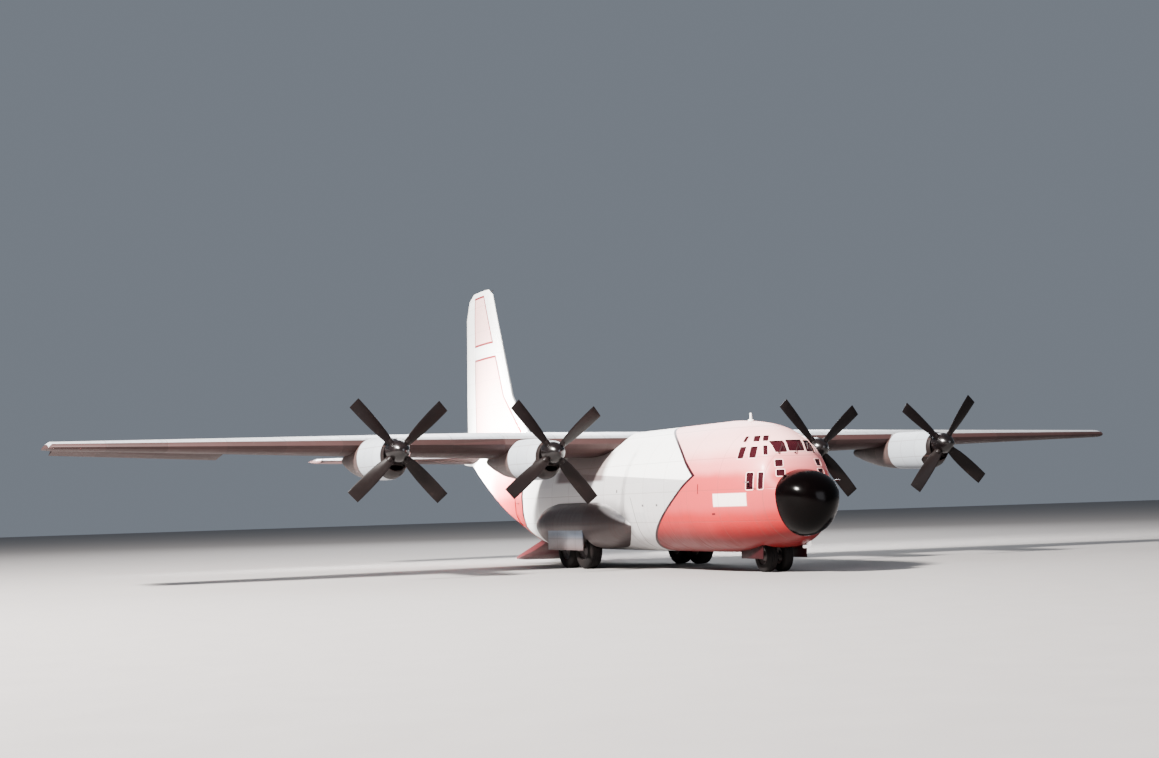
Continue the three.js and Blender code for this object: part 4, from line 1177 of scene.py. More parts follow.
def makeCenter():
    settings = hullSettings
    stations = stationsBetween(
        settings["centerJointY"], settings["aftJointY"] - settings["seat"], settings["middleStep"]
    )
    skin = hullShell("centerSkin", stations, settings["wall"])
    for way in (1, -1):
        cutWith(skin, wellCutter(way))
    cutWith(skin, mergedCopy("wing_center", "wingHole"))
    finishPiece(skin, "airframe", paints["hull"], ["fuselage_center"])
    print("middle of the hull made")


# The opening in the belly: y, half width and top
bellyRows = [(17.3, 1.5, 1.5), (20.63, 1.5, 2.85), (24.83, 1.08, 3.82)]


def makeAft():
    settings = hullSettings
    stations = stationsBetween(settings["aftJointY"], hullRows[-1][0], settings["aftStep"])
    skin = hullShell("aftSkin", stations, settings["aftWall"], endCap=True)
    outline = [(-1, 0), (-1, 1), (1, 1), (1, 0)]
    bottom = -0.5
    places = [
        (at(0, y, bottom), x * half, (top - bottom) * half, (top - bottom) * half)
        for y, x, top in bellyRows
    ]
    cutWith(skin, loft("bellyHole", outline, places))
    inner, outer = doorSettings["sideX"]
    sideY, sideZ = doorSettings["sideY"], doorSettings["sideZ"]
    for way in (1, -1):
        low, high = (way * inner, sideY[0], sideZ[0]), (way * outer, sideY[1], sideZ[1])
        cutWith(skin, boxBetween("sideDoorHole", low, high))
    finishPiece(skin, "airframe", paints["hull"], ["fuselage_aft"])
    print("aft hull made")


# Sponson: y, outer x, top, bottom
sponsonRows = [
    (8.85, 2.00, 1.56, 1.42),
    (9.15, 2.20, 1.78, 1.22),
    (9.70, 2.43, 2.04, 0.97),
    (10.50, 2.66, 2.25, 0.77),
    (11.40, 2.76, 2.32, 0.70),
    (14.40, 2.76, 2.32, 0.70),
    (15.20, 2.68, 2.24, 0.77),
    (15.90, 2.49, 2.03, 0.96),
    (16.50, 2.26, 1.78, 1.20),
    (16.90, 2.06, 1.58, 1.38),
]
sponsonSettings = {"middleX": 1.7, "power": 0.7, "steps": 24, "step": 0.2, "inward": -0.55}


def makeSponsons():
    settings = sponsonSettings
    steps = settings["steps"]
    angles = [math.radians(-89 + 178 * k / steps) for k in range(steps + 1)]
    bulge = [(math.cos(angle) ** settings["power"], math.sin(angle)) for angle in angles]
    outline = [*bulge, (settings["inward"], 1), (settings["inward"], -1)]
    places = []
    for y in stationsBetween(sponsonRows[0][0], sponsonRows[-1][0], settings["step"]):
        _, outerX, top, bottom = smoothRow(sponsonRows, y)
        out, tall = (outerX - settings["middleX"]) * half, (top - bottom) / 2 * half
        places.append((at(settings["middleX"], y, (top + bottom) / 2), out, tall, tall))
    port = loft("sponsonSkin_port", outline, places)
    cutWith(port, wellCutter(1))
    starboard = mirrorOf(port, "sponsonSkin_starboard")
    for side, piece in (("port", port), ("starboard", starboard)):
        finishPiece(piece, "airframe", paints["sponson"], [f"sponson_{side}"])
    print("sponsons made")


# Pieces whose CAD form is right keep it, merged, softened at the edges and shaded smooth:
# paint, slot, edge width, smoothing angle and nodes. A node that is also a body rides on it.
bothSides = ("port", "starboard")
carriedOver = [
    ("wing", "bare_metal", 0.006, 35, ["wing_center"]),
    ("wing", "bare_metal", 0.006, 35, [f"wing_outer_{side}" for side in bothSides]),
    ("wing", "bare_metal", 0.004, 35, [
        f"{part}_{side}"
        for part in ("flap_inner", "flap_outer", "aileron", "tailplane", "elevator")
        for side in bothSides
    ]),
    ("fin", "silver_paint", 0.004, 35, ["fin", "rudder"]),
    ("hull", "red_paint", 0.006, 30, ["crew_door"]),
    ("hull", "red_paint", 0.006, 30, [f"paratroop_door_{side}" for side in bothSides]),
    ("hull", "silver_paint", 0.006, 30, ["cargo_door"]),
    ("ramp", "red_paint", 0.006, 30, ["ramp"]),
    ("gearDoor", "silver_paint", 0.01, 30, [f"main_gear_door_{side}" for side in bothSides]),
    ("shadedRed", "red_paint", 0.01, 30, [f"nose_gear_door_{side}" for side in bothSides]),
    ("deck", "interior", 0.01, 30, ["flight_deck", "cargo_floor"]),
    ("dark", "instrument_panel", 0.02, 30, ["instrument_panel"]),
    ("seat", "seat", 0.05, 30, ["crew_seats"]),
]


def bodyOf(node):
    if node.startswith("elevator"):
        return "elevator"
    return node if node in frame["bodies"] else "airframe"


def makeCarriedOver():
    for paintName, slotName, width, angle, nodes in carriedOver:
        for node in nodes:
            piece = mergedCopy(node, f"{node}_skin")
            rounded(piece, width, 2, 40)
            finishPiece(piece, bodyOf(node), paints[paintName], [node], angle)
    print("wings, tail and doors made")


# Engines: number, x, hub height, how far the propeller stands turned in degrees
engineRows = [(1, 10.16, 4.03, -6), (2, 4.94, 3.92, 5), (3, -4.94, 3.92, 5), (4, -10.16, 4.03, 2)]
nacelleSettings = {
    "sides": 48,
    "wall": 0.05,
    "lip": 0.012,
    "step": 0.16,
    "plateY": (8.68, 8.73),
    "intake": (0.27, 0.115, -0.53),  # half width, half height, height of its middle
    "intakeFlat": 0.8,  # the intake's lower half is this much flatter
    # how far ahead of the plate the intake's lip runs, and how far it grows outward
    "lipRows": [(-0.01, 0.0), (0.03, 0.004), (0.045, 0.016), (0.03, 0.028), (-0.01, 0.034)],
    "shaftHole": 0.1,
    "gearbox": [(8.572, 0.30), (8.60, 0.335), (8.69, 0.345)],
    "gearboxWall": 0.03,
    "exhaustY": (13.2, 13.79),
    "exhaustWall": 0.018,
    # y, half width, top and bottom from the hub, height of the widest line
    "rows": [
        (8.56, 0.420, 0.395, -0.640, -0.09),
        (8.82, 0.490, 0.430, -0.830, -0.14),
        (9.40, 0.545, 0.490, -0.870, -0.16),
        (11.00, 0.550, 0.520, -0.820, -0.13),
        (12.20, 0.500, 0.420, -0.700, -0.13),
        (13.10, 0.400, 0.220, -0.500, -0.11),
        (13.80, 0.260, 0.040, -0.300, -0.11),
    ],
}


def nacellePlaces(start, end, step, inset=0.0):
    rows = nacelleSettings["rows"]
    return [
        ovalPlace(*smoothRow(rows, y), inset) for y in stationsBetween(start, end, step)
    ]


def makeNacelle():
    settings = nacelleSettings
    outline = roundOutline(settings["sides"])
    frontY, backY = settings["rows"][0][0], settings["rows"][-1][0]
    piece = loft("cowl", outline, nacellePlaces(frontY, backY, settings["step"]), (False, False))
    walled(piece, settings["wall"])
    rounded(piece, settings["lip"], 3, 60)
    return piece


# Places for a round loft from rows of (y, radius)
def roundPlaces(rows, x=0, z=0):
    return [(at(x, y, z), radius * half, radius * half, radius * half) for y, radius in rows]


# The plate round the gearbox, with the chin intake below it and the gearbox ring in front
def makeNacelleFront():
    settings = nacelleSettings
    start, end = settings["plateY"]
    across, tall, z = settings["intake"]
    before, behind = start - 0.1, end + 0.1

    def intakePlace(y, grow):
        flat = tall * settings["intakeFlat"] + grow
        return at(0, y, z), (across + grow) * half, (tall + grow) * half, flat * half

    places = nacellePlaces(start, end, 0.05, settings["wall"] + 0.002)
    plate = loft("plate", roundOutline(settings["sides"]), places)
    cutWith(plate, loft("mouth", roundOutline(24), [intakePlace(y, 0) for y in (before, behind)]))
    shaft = rodPiece("shaftHole", (0, before, 0), (0, behind, 0), settings["shaftHole"], soft=0)
    cutWith(plate, shaft)
    ring = loft("gearboxRing", roundOutline(40), roundPlaces(settings["gearbox"]), (False, False))
    walled(ring, settings["gearboxWall"])
    lips = loft("intakeLip", roundOutline(24), [
        intakePlace(start - ahead, grow) for ahead, grow in settings["lipRows"]
    ], (False, False))
    return joinAll("nacelleFront", [plate, ring, lips])


def makeExhaust():
    settings = nacelleSettings
    places = nacellePlaces(*settings["exhaustY"], 0.1, settings["wall"] + 0.004)
    pipe = loft("exhaust", roundOutline(settings["sides"]), places, (False, False))
    return walled(pipe, settings["exhaustWall"])


propellerSettings = {
    "y": 8.30,
    "blades": 4,
    "firstTurn": 45,
    "bladeSides": 20,
    "collar": ("collar", (0, 0, 0.33), (0, 0, 0.47), 0.115, 0.10, 20, 0.012),
    # radius, chord, thickness, pitch in degrees from the disc
    "rows": [
        (0.18, 0.260, 0.160, 38),
        (0.42, 0.305, 0.135, 34),
        (0.55, 0.345, 0.112, 31),
        (0.70, 0.388, 0.092, 28),
        (0.90, 0.418, 0.075, 24.5),
        (1.10, 0.438, 0.061, 21),
        (1.35, 0.450, 0.050, 18),
        (1.60, 0.454, 0.041, 15),
        (1.85, 0.448, 0.033, 12.5),
        (2.05, 0.438, 0.024, 10),
    ],
    "spinner": [
        (7.841, 0.03), (7.85, 0.075), (7.87, 0.12), (7.90, 0.162), (7.96, 0.222), (8.02, 0.268),
        (8.09, 0.308), (8.17, 0.341), (8.26, 0.364), (8.38, 0.378), (8.50, 0.384), (8.538, 0.378),
    ],
}


def turnedPart(part, degrees, place=(0, 0, 0)):
    part.rotation_euler = (0, math.radians(degrees), 0)
    part.location = place
    return settle(part)


def makePropeller():
    settings = propellerSettings
    places, turns = [], []
    for radius, chord, thickness, pitch in settings["rows"]:
        thick = thickness / 2 * half
        places.append((Vector((0, 0, radius * half)), chord / 2 * half, thick, thick))
        turns.append(math.radians(pitch))
    angles = [2 * math.pi * k / settings["bladeSides"] for k in range(settings["bladeSides"])]
    outline = [(math.cos(a), math.sin(a) * (1 if math.cos(a) > -0.2 else 0.8)) for a in angles]
    blade = loft("blade", outline, places, turns=turns, upright=True)
    rounded(blade, 0.008, 2, 50)
    collar = rodPiece(*settings["collar"])
    collar.location -= at(0, 0, 0)
    settle(collar)
    parts = [
        turnedPart(copyOf(source, "part"), settings["firstTurn"] + 360 * index / settings["blades"])
        for source in (blade, collar) for index in range(settings["blades"])
    ]
    remove(blade)
    remove(collar)
    blades = joinAll("blades", parts)
    rings = [
        (Vector((0, (y - settings["y"]) * half, 0)), r * half, r * half, r * half)
        for y, r in settings["spinner"]
    ]
    return blades, loft("spinner", roundOutline(40), rings)


def wingAt(x):
    if abs(x) < wingPlaces["kinkX"]:
        return "wing_center"
    return "wing_outer_port" if x > 0 else "wing_outer_starboard"


def makeEngines():
    cowl = makeNacelle()
    front, exhaust = makeNacelleFront(), makeExhaust()
    blades, spinner = makePropeller()
    for number, x, hubZ, rest in engineRows:
        place = (x * half, 0, hubZ * half)
        rows = ((front, "nacelleFront", "dark"), (exhaust, "exhaust", "steel"))
        for source, label, paintName in rows:
            part = turnedPart(copyOf(source, f"{label}_{number}"), 0, place)
            finishPiece(part, "airframe", paints[paintName])
        piece = turnedPart(copyOf(cowl, f"cowl_{number}"), 0, place)
        cutWith(piece, mergedCopy(wingAt(x), "wingHole"))
        finishPiece(piece, "airframe", paints["cowl"], [f"nacelle_{number}"])
        engine = mergedCopy(f"engine_{number}", f"engineBlock_{number}")
        rounded(engine, 0.01)
        finishPiece(engine, "airframe", paints["dark"], [f"engine_{number}"])
        body = f"propeller_{number}"
        hub = at(x, propellerSettings["y"], hubZ)
        part = turnedPart(copyOf(blades, f"blades_{number}"), rest, hub)
        finishPiece(part, body, paints["blade"], [body])
        part = turnedPart(copyOf(spinner, f"spinner_{number}"), rest, hub)
        finishPiece(part, body, paints["hub"])
    for piece in (cowl, front, exhaust, blades, spinner):
        remove(piece)
    print("engines made")


wheelSettings = {
    "main": {"radius": 0.70, "halfWidth": 0.25, "rim": 0.38, "grooves": 4},
    "nose": {"radius": 0.49, "halfWidth": 0.16, "rim": 0.25, "grooves": 3},
}
# number, x, y, z, body and node
wheelRows = {
    "main": [
        (1, 2.17, 12.0, 0.70, "main_wheel_1", "main_wheel_1"),
        (2, 2.17, 13.52, 0.70, "main_wheel_2", "main_wheel_2"),
        (3, -2.17, 12.0, 0.70, "main_wheel_3", "main_wheel_3"),
        (4, -2.17, 13.52, 0.70, "main_wheel_4", "main_wheel_4"),
    ],
    "nose": [
        (1, 0.27, 3.03, 0.49, "nose_wheels", "nose_wheel_port"),
        (2, -0.27, 3.03, 0.49, "nose_wheels", "nose_wheel_starboard"),
    ],
}
# One half of the rim, as shares of its radius and of the tyre's half width
rimShares = [
    (0.98, 0.60), (1.03, 0.74), (0.98, 0.76), (0.92, 0.62), (0.62, 0.42), (0.40, 0.52),
]
wheelFittings = {"axle": 0.062, "bolts": 8, "boltRing": 0.76, "capRadii": (0.085, 0.07)}


def tyreOutline(radius, halfWidth, rim, grooves):
    tread = halfWidth * 0.62
    side = [
        (rim * 0.97, 0.62), (rim * 1.02, 0.78), (rim * 1.12, 0.93), ((rim + radius) / 2, 1.0),
        (radius * 0.90, 0.93), (radius * 0.965, 0.80),
    ]
    points = [(r, -halfWidth * w) for r, w in side]
    points.append((radius * 0.995, -tread))
    pitch = 2 * tread / grooves
    for index in range(grooves):
        middle = -tread + pitch * (index + 0.5)
        for offset, depth in ((-0.09, 0), (-0.05, 0.018), (0.05, 0.018), (0.09, 0)):
            points.append((radius - depth, middle + offset * pitch))
    points.append((radius * 0.995, tread))
    return points + [(r, halfWidth * w) for r, w in reversed(side)]


def makeWheel(label, settings):
    halfWidth, rim = settings["halfWidth"], settings["rim"]
    axle = wheelFittings["axle"]
    tyre = spun(f"{label}Tyre", tyreOutline(**settings), (0, 0, 0), 64)
    inner = [(rim * r, -halfWidth * w) for r, w in rimShares] + [(axle, -halfWidth * 0.56)]
    outline = inner + [(r, -side) for r, side in reversed(inner)]
    parts = [spun(f"{label}Rim", outline, (0, 0, 0), 48)]
    ring, count = rim * wheelFittings["boltRing"], wheelFittings["bolts"]
    for way in (-1, 1):
        for index in range(count):
            angle = 2 * math.pi * index / count
            y, z = ring * math.cos(angle), ring * math.sin(angle)
            ends = ((way * halfWidth * share, y, z) for share in (0.46, 0.56))
            parts.append(rodPiece("bolt", *ends, 0.018, sides=6, soft=0.002))
    for way in (-1, 1):
        ends = ((way * halfWidth * share, 0, 0) for share in (0.50, 0.66))
        cap = rodPiece("cap", *ends, *wheelFittings["capRadii"], 20, 0.006)
        parts.append(cutWith(cap, rodPiece("axleHole", (-0.5, 0, 0), (0.5, 0, 0), axle, soft=0)))
    return tyre, joinAll(f"{label}Rim", parts)


def makeWheels():
    origin = at(0, 0, 0)
    for label, settings in wheelSettings.items():
        tyre, rim = makeWheel(label, settings)
        for number, x, y, z, body, node in wheelRows[label]:
            for source, part, paintName in ((tyre, "Tyre", "tyre"), (rim, "Rim", "steel")):
                piece = copyOf(source, f"{label}{part}_{number}")
                piece.location = at(x, y, z) - origin
                replaced = [node] if part == "Tyre" else []
                finishPiece(settle(piece), body, paints[paintName], replaced)
        remove(tyre)
        remove(rim)
    print("wheels made")


# Rods: name, start and end, radius, end radius, sides and softness. The main legs' points are
# taken from each leg's line on the ground, and the nose gear's from the aircraft's middle line.
legSettings = {
    "mainX": 2.52,
    "mainY": (12.0, 13.52),
    "mainRods": [
        ("strut", (0, 0, 0.95), (0, 0, 1.555), 0.085),
        ("piston", (0, 0, 0.62), (0, 0, 1.0), 0.062),
        ("axle", (0.04, 0, 0.70), (-0.50, 0, 0.70), 0.058),
        ("collar", (0, 0, 0.93), (0, 0, 0.99), 0.10),
        ("upperLink", (0, 0.05, 0.96), (0, 0.21, 0.84), 0.022, None, 12, 0.003),
        ("lowerLink", (0, 0.21, 0.84), (0, 0.04, 0.70), 0.022, None, 12, 0.003),
        ("hose", (-0.06, -0.07, 1.40), (-0.06, -0.06, 0.76), 0.012, None, 8, 0),
    ],
    "beamX": (2.48, 2.56),
    "beamZ": (1.44, 1.52),
    "noseY": 3.03,
    "noseRods": [
        ("outer", (0, 0, 1.2506), (0, 0, 2.219), 0.11),
        ("brace", (0, 0, 1.70), (0, 0.92, 2.16), 0.05),
        ("upperRing", (0, 0, 1.30), (0, 0, 1.40), 0.125),
    ],
    "forkRods": [
        ("piston", (0, 0, 0.41), (0, 0, 1.249), 0.07),
        ("axle", (-0.388, 0, 0.49), (0.388, 0, 0.49), 0.06),
        ("hub", (0, 0, 0.40), (0, 0, 0.60), 0.088),
        ("steer", (-0.30, -0.10, 1.12), (0.30, -0.10, 1.12), 0.035),
    ],
    "forkLink": ((-0.03, 3.09, 0.52), (0.03, 3.26, 0.86)),
}


def makeLegs():
    settings = legSettings
    (inner, outer), (low, high) = settings["beamX"], settings["beamZ"]
    firstY, lastY = settings["mainY"]
    for side, way in portAndStarboard:
        parts = [
            boxBetween("beam", (way * inner, firstY, low), (way * outer, lastY, high), 0.01)
        ]
        for y in settings["mainY"]:
            parts += rodRows(settings["mainRods"], (settings["mainX"], y, 0), way)
        piece = joinAll(f"mainStruts_{side}", parts)
        finishPiece(piece, "airframe", paints["steel"], [f"main_leg_{side}"])
    place = (0, settings["noseY"], 0)
    leg = joinAll("noseStrut", rodRows(settings["noseRods"], place))
    finishPiece(leg, "airframe", paints["steel"], ["nose_leg"])
    link = boxPiece("link", *settings["forkLink"], 0.01)
    fork = joinAll("noseFork", [*rodRows(settings["forkRods"], place), link])
    finishPiece(fork, "nose_steering", paints["steel"], ["nose_steering"])
    print("landing gear made")


frameSettings = {
    "proud": 0.012,
    "thickness": 0.045,
    "crewWidth": 0.055,
    "crewDrop": 0.2,  # the crew door's frame stays open this far below the door way
    "sideWidth": 0.05,
    "reach": (1.0, 2.9),
    # the handles of the side doors, from the skin at this y and z
    "handleY": 18.72,
    "handleZ": 2.35,
    "handleRods": [
        ("grip", (0.03, -0.22, 0), (0.03, 0, 0), 0.012, None, 12, 0.003),
        ("end", (-0.02, -0.21, 0), (0.035, -0.21, 0), 0.011, None, 12, 0),
        ("end", (-0.02, -0.01, 0), (0.035, -0.01, 0), 0.011, None, 12, 0),
    ],
}


# A raised frame on the skin round a door way, open below where the door hangs
def doorFrame(name, stations, spanY, spanZ, width, way=1):
    piece = shellBetween(name, stations, -frameSettings["proud"], frameSettings["thickness"])
    near, far = (way * reach for reach in frameSettings["reach"])
    (firstY, lastY), (low, high) = spanY, spanZ
    outer = boxBetween(
        "outer", (near, firstY - width, low - width), (far, lastY + width, high + width)
    )
    cutWith(piece, outer, "INTERSECT")
    cutWith(piece, boxBetween("hole", (near, firstY, low), (far, lastY, high)))
    rounded(piece, 0.004)
    return finishPiece(piece, "airframe", paints["hull"])


def makeDoorFrames():
    settings, doors = frameSettings, doorSettings
    low, high = doors["crewZ"]
    doorFrame(
        "crewDoorFrame", stationsBetween(3.3, 4.4, 0.1), doors["crewY"],
        (low - settings["crewDrop"], high), settings["crewWidth"],
    )
    y, z = settings["handleY"], settings["handleZ"]
    for side, way in portAndStarboard:
        doorFrame(
            f"sideDoorFrame_{side}", stationsBetween(17.8, 19.1, 0.13), doors["sideY"],
            doors["sideZ"], settings["sideWidth"], way,
        )
        parts = rodRows(settings["handleRods"], (skinX(y, z), y, z), way)
        handle = joinAll(f"sideDoorHandle_{side}", parts)
        finishPiece(handle, "airframe", paints["steel"])
    print("door frames made")


# The two ends of a trailing edge, read off the frame's own solid
def trailingEdge(node):
    places = [vertex.co.copy() for vertex in frame["nodes"][node].data.vertices]
    ends = []
    for pick in (min, max):
        limit = pick(place.x for place in places)
        near = [place for place in places if abs(place.x - limit) < 0.05]
        ends.append(max(near, key=lambda place: place.y))
    return ends


wickSettings = {
    "length": 0.22,
    "radius": 0.009,
    # node, body, shares of the way along the trailing edge
    "rows": [
        ("aileron_port", "aileron_port", (0.35, 0.6, 0.8, 0.96)),
        ("aileron_starboard", "aileron_starboard", (0.04, 0.2, 0.4, 0.65)),
        ("elevator_port", "elevator", (0.55, 0.75, 0.95)),
        ("elevator_starboard", "elevator", (0.05, 0.25, 0.45)),
    ],
}


def makeWicks():
    settings = wickSettings
    length, radius = settings["length"] * half, settings["radius"] * half
    for node, body, shares in settings["rows"]:
        first, last = trailingEdge(node)
        parts = []
        for share in shares:
            root = first.lerp(last, share)
            bpy.ops.mesh.primitive_cone_add(
                vertices=8, radius1=radius, radius2=radius * 0.4, depth=length,
                location=root + Vector((0, length * 0.42, 0)), rotation=(-math.pi / 2, 0, 0),
            )
            part = bpy.context.object
            parts.append(rounded(settle(part), 0.002))
        finishPiece(joinAll(f"{node}_wicks", parts), body, paints["dark"])
    print("static wicks made")


noseDetails = {
    # the pitot tubes, from the skin at this y and z
    "pitotY": 1.95,
    "pitotZ": 2.72,
    "pitotRods": [
        ("mast", (-0.03, 0.05, 0), (0.16, -0.05, 0), 0.03, 0.02, 16, 0.003),
        ("tube", (0.16, 0.02, 0), (0.16, -0.30, 0), 0.019, 0.014, 16, 0.003),
    ],
    # the x of each wiper's pivot and of its tip
    "wipers": [(0.60, 0.44), (-0.60, -0.44), (-0.10, 0.08)],
    "wiperZ": (3.555, 3.80),
    "wiperSweep": 0.05,
    "wiperBlade": (0.14, 0.06),  # its reach below and above the tip
    "roofPost": [
        ("mast", (0, 4.15, 4.60), (0, 4.15, 4.90), 0.05, 0.032),
        ("foot", (0, 4.15, 4.62), (0, 4.15, 4.70), 0.11, 0.09),
    ],
    "taxiLamp": [
        ("arm", (0.76, 2.22, 0.72), (0.84, 2.29, 1.10)),
        ("foot", (0.58, 2.21, 0.70), (0.85, 2.30, 0.79)),
    ],
}


# Pivot, arm and blade of one wiper, lying on the glass
def wiperRods(pivotX, tipX):
    lowZ, highZ = noseDetails["wiperZ"]
    below, above = noseDetails["wiperBlade"]
    sweep = noseDetails["wiperSweep"]
    pivotY = skinY(abs(pivotX), lowZ) - 0.012
    tipY = skinY(abs(tipX), highZ) - 0.03
    footX = tipX + (sweep if tipX > pivotX else -sweep)
    foot = (footX, skinY(abs(tipX), highZ - below) - 0.03, highZ - below)
    behind, ahead, root = ((pivotX, pivotY + shift, lowZ) for shift in (0.03, -0.025, -0.02))
    return rodRows([
        ("pivot", behind, ahead, 0.022, None, 16, 0.003),
        ("arm", root, (tipX, tipY, highZ), 0.009, 0.006, 10, 0),
        ("blade", foot, (tipX - 0.02, tipY, highZ + above), 0.007, None, 8, 0),
    ])


def makeNoseDetails():
    settings = noseDetails
    y, z = settings["pitotY"], settings["pitotZ"]
    tubes = [
        rod for _, way in portAndStarboard
        for rod in rodRows(settings["pitotRods"], (skinX(y, z), y, z), way)
    ]
    finishPiece(joinAll("pitotTubes", tubes), "airframe", paints["polished"])
    wipers = [rod for pair in settings["wipers"] for rod in wiperRods(*pair)]
    finishPiece(joinAll("wipers", wipers), "airframe", paints["dark"])
    post = joinAll("roofPost", rodRows(settings["roofPost"]))
    finishPiece(post, "airframe", paints["whiteTrim"])
    # the whole taxi lamp, with its arm and foot, glows as painted light
    lamp = joinAll("taxiLamp", [boxPiece(*row, 0.01) for row in settings["taxiLamp"]])
    finishPiece(lamp, "airframe", paints["glow"])
    print("nose details made")


tailDetails = {
    "finProbe": [
        ("tube", (0, 26.72, 11.50), (0, 26.22, 11.56), 0.028, 0.018, 16, 0.004),
        ("root", (0, 26.80, 11.48), (0, 26.62, 11.51), 0.05, 0.03, 16, 0.006),
    ],
    "tailLamp": [
        ("lens", (0, 29.62, 4.34), (0, 29.785, 4.34), 0.075, 0.045, 24, 0.012),
        ("ring", (0, 29.60, 4.34), (0, 29.70, 4.34), 0.095, 0.085, 24, 0.008),
    ],
    "weightX": 7.96,
    "weightZ": 4.32,
    # y and radius of the round tips of the tailplane
    "weight": [(25.30, 0.012), (25.34, 0.04), (25.42, 0.062), (25.60, 0.075), (25.90, 0.078),
               (26.30, 0.06), (26.60, 0.03), (26.68, 0.012)],
    "tipLamp": ((20.0, 12.0, 4.44), (20.19, 12.02, 4.44), 0.05, 0.03),
}


def makeTailDetails():
    settings = tailDetails
    probe = joinAll("finProbe", rodRows(settings["finProbe"]))
    finishPiece(probe, "airframe", paints["dark"])
    light = joinAll("tailLamp", rodRows(settings["tailLamp"]))
    finishPiece(light, "airframe", paints["whiteTrim"])
    for side, way in portAndStarboard:
        places = roundPlaces(settings["weight"], way * settings["weightX"], settings["weightZ"])
        weight = loft(f"tipWeight_{side}", roundOutline(24), places)
        finishPiece(weight, "airframe", paints["wing"], angle=50)
        (lamp,) = rodRows([(f"tipLamp_{side}", *settings["tipLamp"])], way=way)
        finishPiece(lamp, "airframe", paints["redLamp" if way > 0 else "greenLamp"])
    print("tail details made")


holdSettings = {
    "ribs": [6.2, 7.5, 8.8, 10.1, 16.3],
    "ribWidth": 0.07,
    "ribDepth": 0.07,
    "wingSpace": ((-2.5, 10.5, 3.2), (2.5, 16.6, 5.0)),
    "floorSpace": ((-1.6, 5.0, 0.9), (1.6, 17.5, 1.1)),
    "ringRows": (-1.1, 1.1),
    "ringY": (6.0, 16.5),
    "ringStep": 1.5,
    "ringRadii": (0.055, 0.011),
    "floorZ": 1.04,
    "rampTilt": 14.0,
    "rampPivotY": 17.455,
    "rampFrontY": 17.55,
    "treads": 7,
    "treadStep": 0.4,
    "treadHalf": 1.2,
    "railX": (1.36, 1.44),
}


# Ribs of the hold, tie-down rings on its floor, and treads and side rails on the ramp
def makeHold():
    settings = holdSettings
    inset, floorZ = hullSettings["wall"] + 0.005, settings["floorZ"]
    ribs = joinAll("holdRibs", [
        shellBetween("rib", [y, y + settings["ribWidth"]], inset, settings["ribDepth"])
        for y in settings["ribs"]
    ])
    cutWith(ribs, boxPiece("wingSpace", *settings["wingSpace"]))
    for way in (1, -1):
        cutWith(ribs, wellCutter(way))
    cutWith(ribs, boxPiece("floorSpace", *settings["floorSpace"]))
    finishPiece(ribs, "airframe", paints["cabin"])
    major, minor = (radius * half for radius in settings["ringRadii"])
    rings = []
    for x in settings["ringRows"]:
        for y in stationsBetween(*settings["ringY"], settings["ringStep"]):
            bpy.ops.mesh.primitive_torus_add(
                location=at(x, y, floorZ + 0.012), major_segments=20, minor_segments=8,
                major_radius=major, minor_radius=minor,
            )
            rings.append(settle(bpy.context.object))
    rings = joinAll("tieDownRings", rings)
    finishPiece(rings, "airframe", paints["polished"], angle=60)
    across, frontY, bottom = settings["treadHalf"], settings["rampFrontY"], floorZ - 0.01
    parts = []
    for index in range(settings["treads"]):
        y = frontY + 0.35 + settings["treadStep"] * index
        first, last = (-across, y, bottom), (across, y + 0.06, floorZ + 0.014)
        parts.append(boxPiece("tread", first, last, 0.006))
    inner, outer = settings["railX"]
    for way in (1, -1):
        first = (way * inner, frontY + 0.1, bottom)
        last = (way * outer, frontY + 3.0, floorZ + 0.03)
        parts.append(boxBetween("rail", first, last, 0.01))
    piece = joinAll("rampTreads", parts)
    pivot = at(0, settings["rampPivotY"], floorZ)
    turn = Matrix.Rotation(-math.radians(settings["rampTilt"]), 4, "X")
    piece.matrix_world = Matrix.Translation(pivot) @ turn @ Matrix.Translation(-pivot)
    finishPiece(settle(piece), "ramp", paints["ramp"])
    print("hold made")


cameraSettings = {
    "place": (-26.624, -43.020, 2.099),
    "yaw": -23.821,
    "pitch": 4.267,
    "roll": -1.702,
    "lens": 53.75,
    "sensor": 36,
}


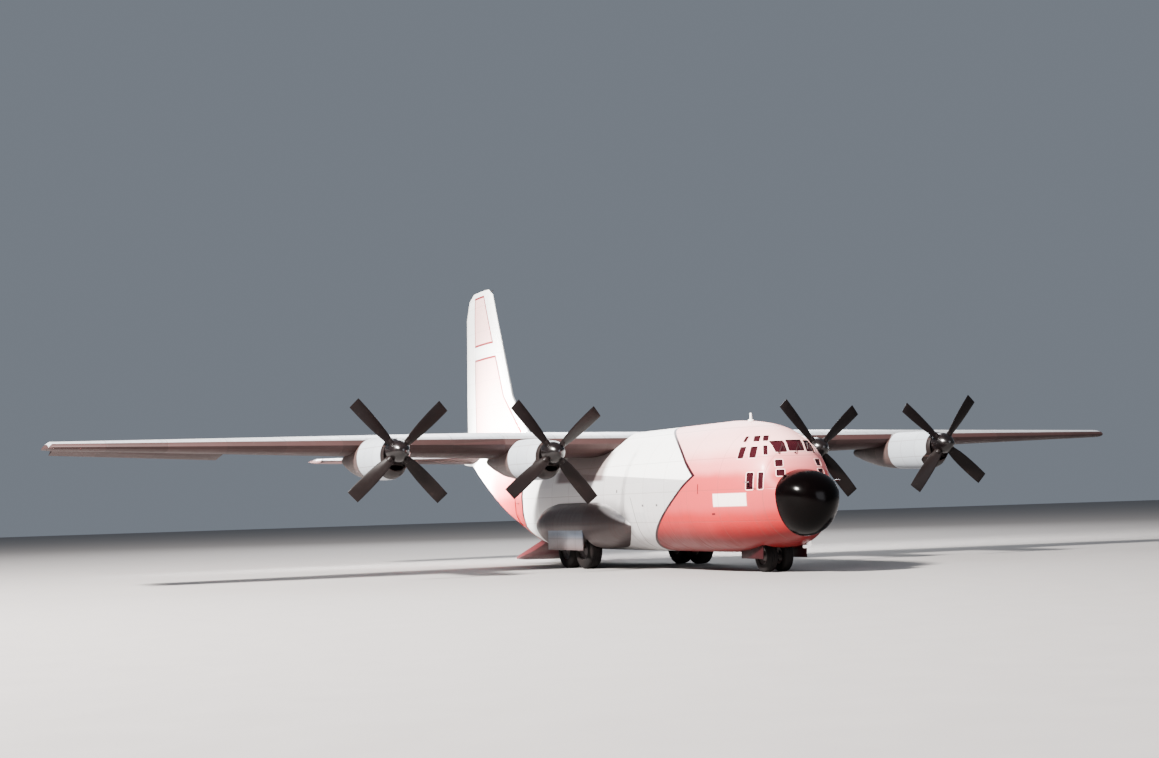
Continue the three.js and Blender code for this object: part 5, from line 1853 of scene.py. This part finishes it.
def makeCamera():
    settings = cameraSettings
    yaw, pitch, roll = (math.radians(settings[key]) for key in ("yaw", "pitch", "roll"))
    level = math.cos(pitch)
    forward = Vector((-math.sin(yaw) * level, math.cos(yaw) * level, math.sin(pitch)))
    right = Vector((math.cos(yaw), math.sin(yaw), 0))
    up = right.cross(forward)
    tiltedRight = right * math.cos(roll) + up * math.sin(roll)
    tiltedUp = up * math.cos(roll) - right * math.sin(roll)
    data = bpy.data.cameras.new("photoCamera")
    data.sensor_width = settings["sensor"]
    data.lens = settings["lens"]
    data.clip_end = 400
    camera = bpy.data.objects.new("photoCamera", data)
    bpy.context.scene.collection.objects.link(camera)
    turn = Matrix((tiltedRight, tiltedUp, -forward)).transposed()
    camera.matrix_world = Matrix.Translation(at(*settings["place"])) @ turn.to_4x4()
    bpy.context.scene.camera = camera


stageSettings = {
    "floorSize": 260,
    "floorTones": ((0.25, 0.235, 0.23), (0.29, 0.275, 0.27)),
    "sky": (0.60, 0.68, 0.80),
    "skyStrength": 0.3,
    # name, place, size, power, colour, target, spread of the beam in degrees
    "lamps": [
        ("sunlight", (-54, -10, 46), 7, 92000, (1.0, 0.96, 0.92), (0, 12, 3), 180),
        ("fill", (20, -60, 20), 30, 3600, (0.90, 0.93, 1.0), (0, 10, 3), 180),
        ("rim", (20, 60, 34), 30, 6500, (0.95, 0.97, 1.0), (0, 18, 4), 180),
        ("tailFill", (-36, 26, 6), 4, 1500, (1.0, 0.97, 0.95), (0, 24.0, 3.6), 20),
    ],
}


def makeStage():
    settings = stageSettings
    bpy.ops.mesh.primitive_plane_add(size=1, location=(0, 0, 0))
    floor = bpy.context.object
    floor.name = "paleFloor"
    floor.scale = (settings["floorSize"], settings["floorSize"], 1)
    settle(floor)
    paint = Paint("floorPaint")
    grain = paint.noise(2.0, 5)
    paint.finish(paint.mix(grain, *settings["floorTones"]), 0.75 + grain * 0.1)
    floor.data.materials.append(paint.material)
    world = bpy.data.worlds.new("studioSky")
    world.use_nodes = True
    background = world.node_tree.nodes["Background"]
    background.inputs["Color"].default_value = (*settings["sky"], 1)
    background.inputs["Strength"].default_value = settings["skyStrength"]
    bpy.context.scene.world = world
    for name, place, size, power, color, target, spread in settings["lamps"]:
        data = bpy.data.lights.new(name, "AREA")
        data.size = size * half
        data.energy = power
        data.color = color
        data.spread = math.radians(spread)
        lamp = bpy.data.objects.new(name, data)
        bpy.context.scene.collection.objects.link(lamp)
        lamp.location = at(*place)
        lamp.rotation_euler = (at(*target) - at(*place)).to_track_quat("-Z", "Y").to_euler()
    print("stage made")


makeCamera()
makeStage()
makeNose()
makeRadome()
makeCenter()
makeAft()
makeSponsons()
makeCarriedOver()
makeEngines()
makeWheels()
makeLegs()
makeDoorFrames()
makeWicks()
makeNoseDetails()
makeTailDetails()
makeHold()
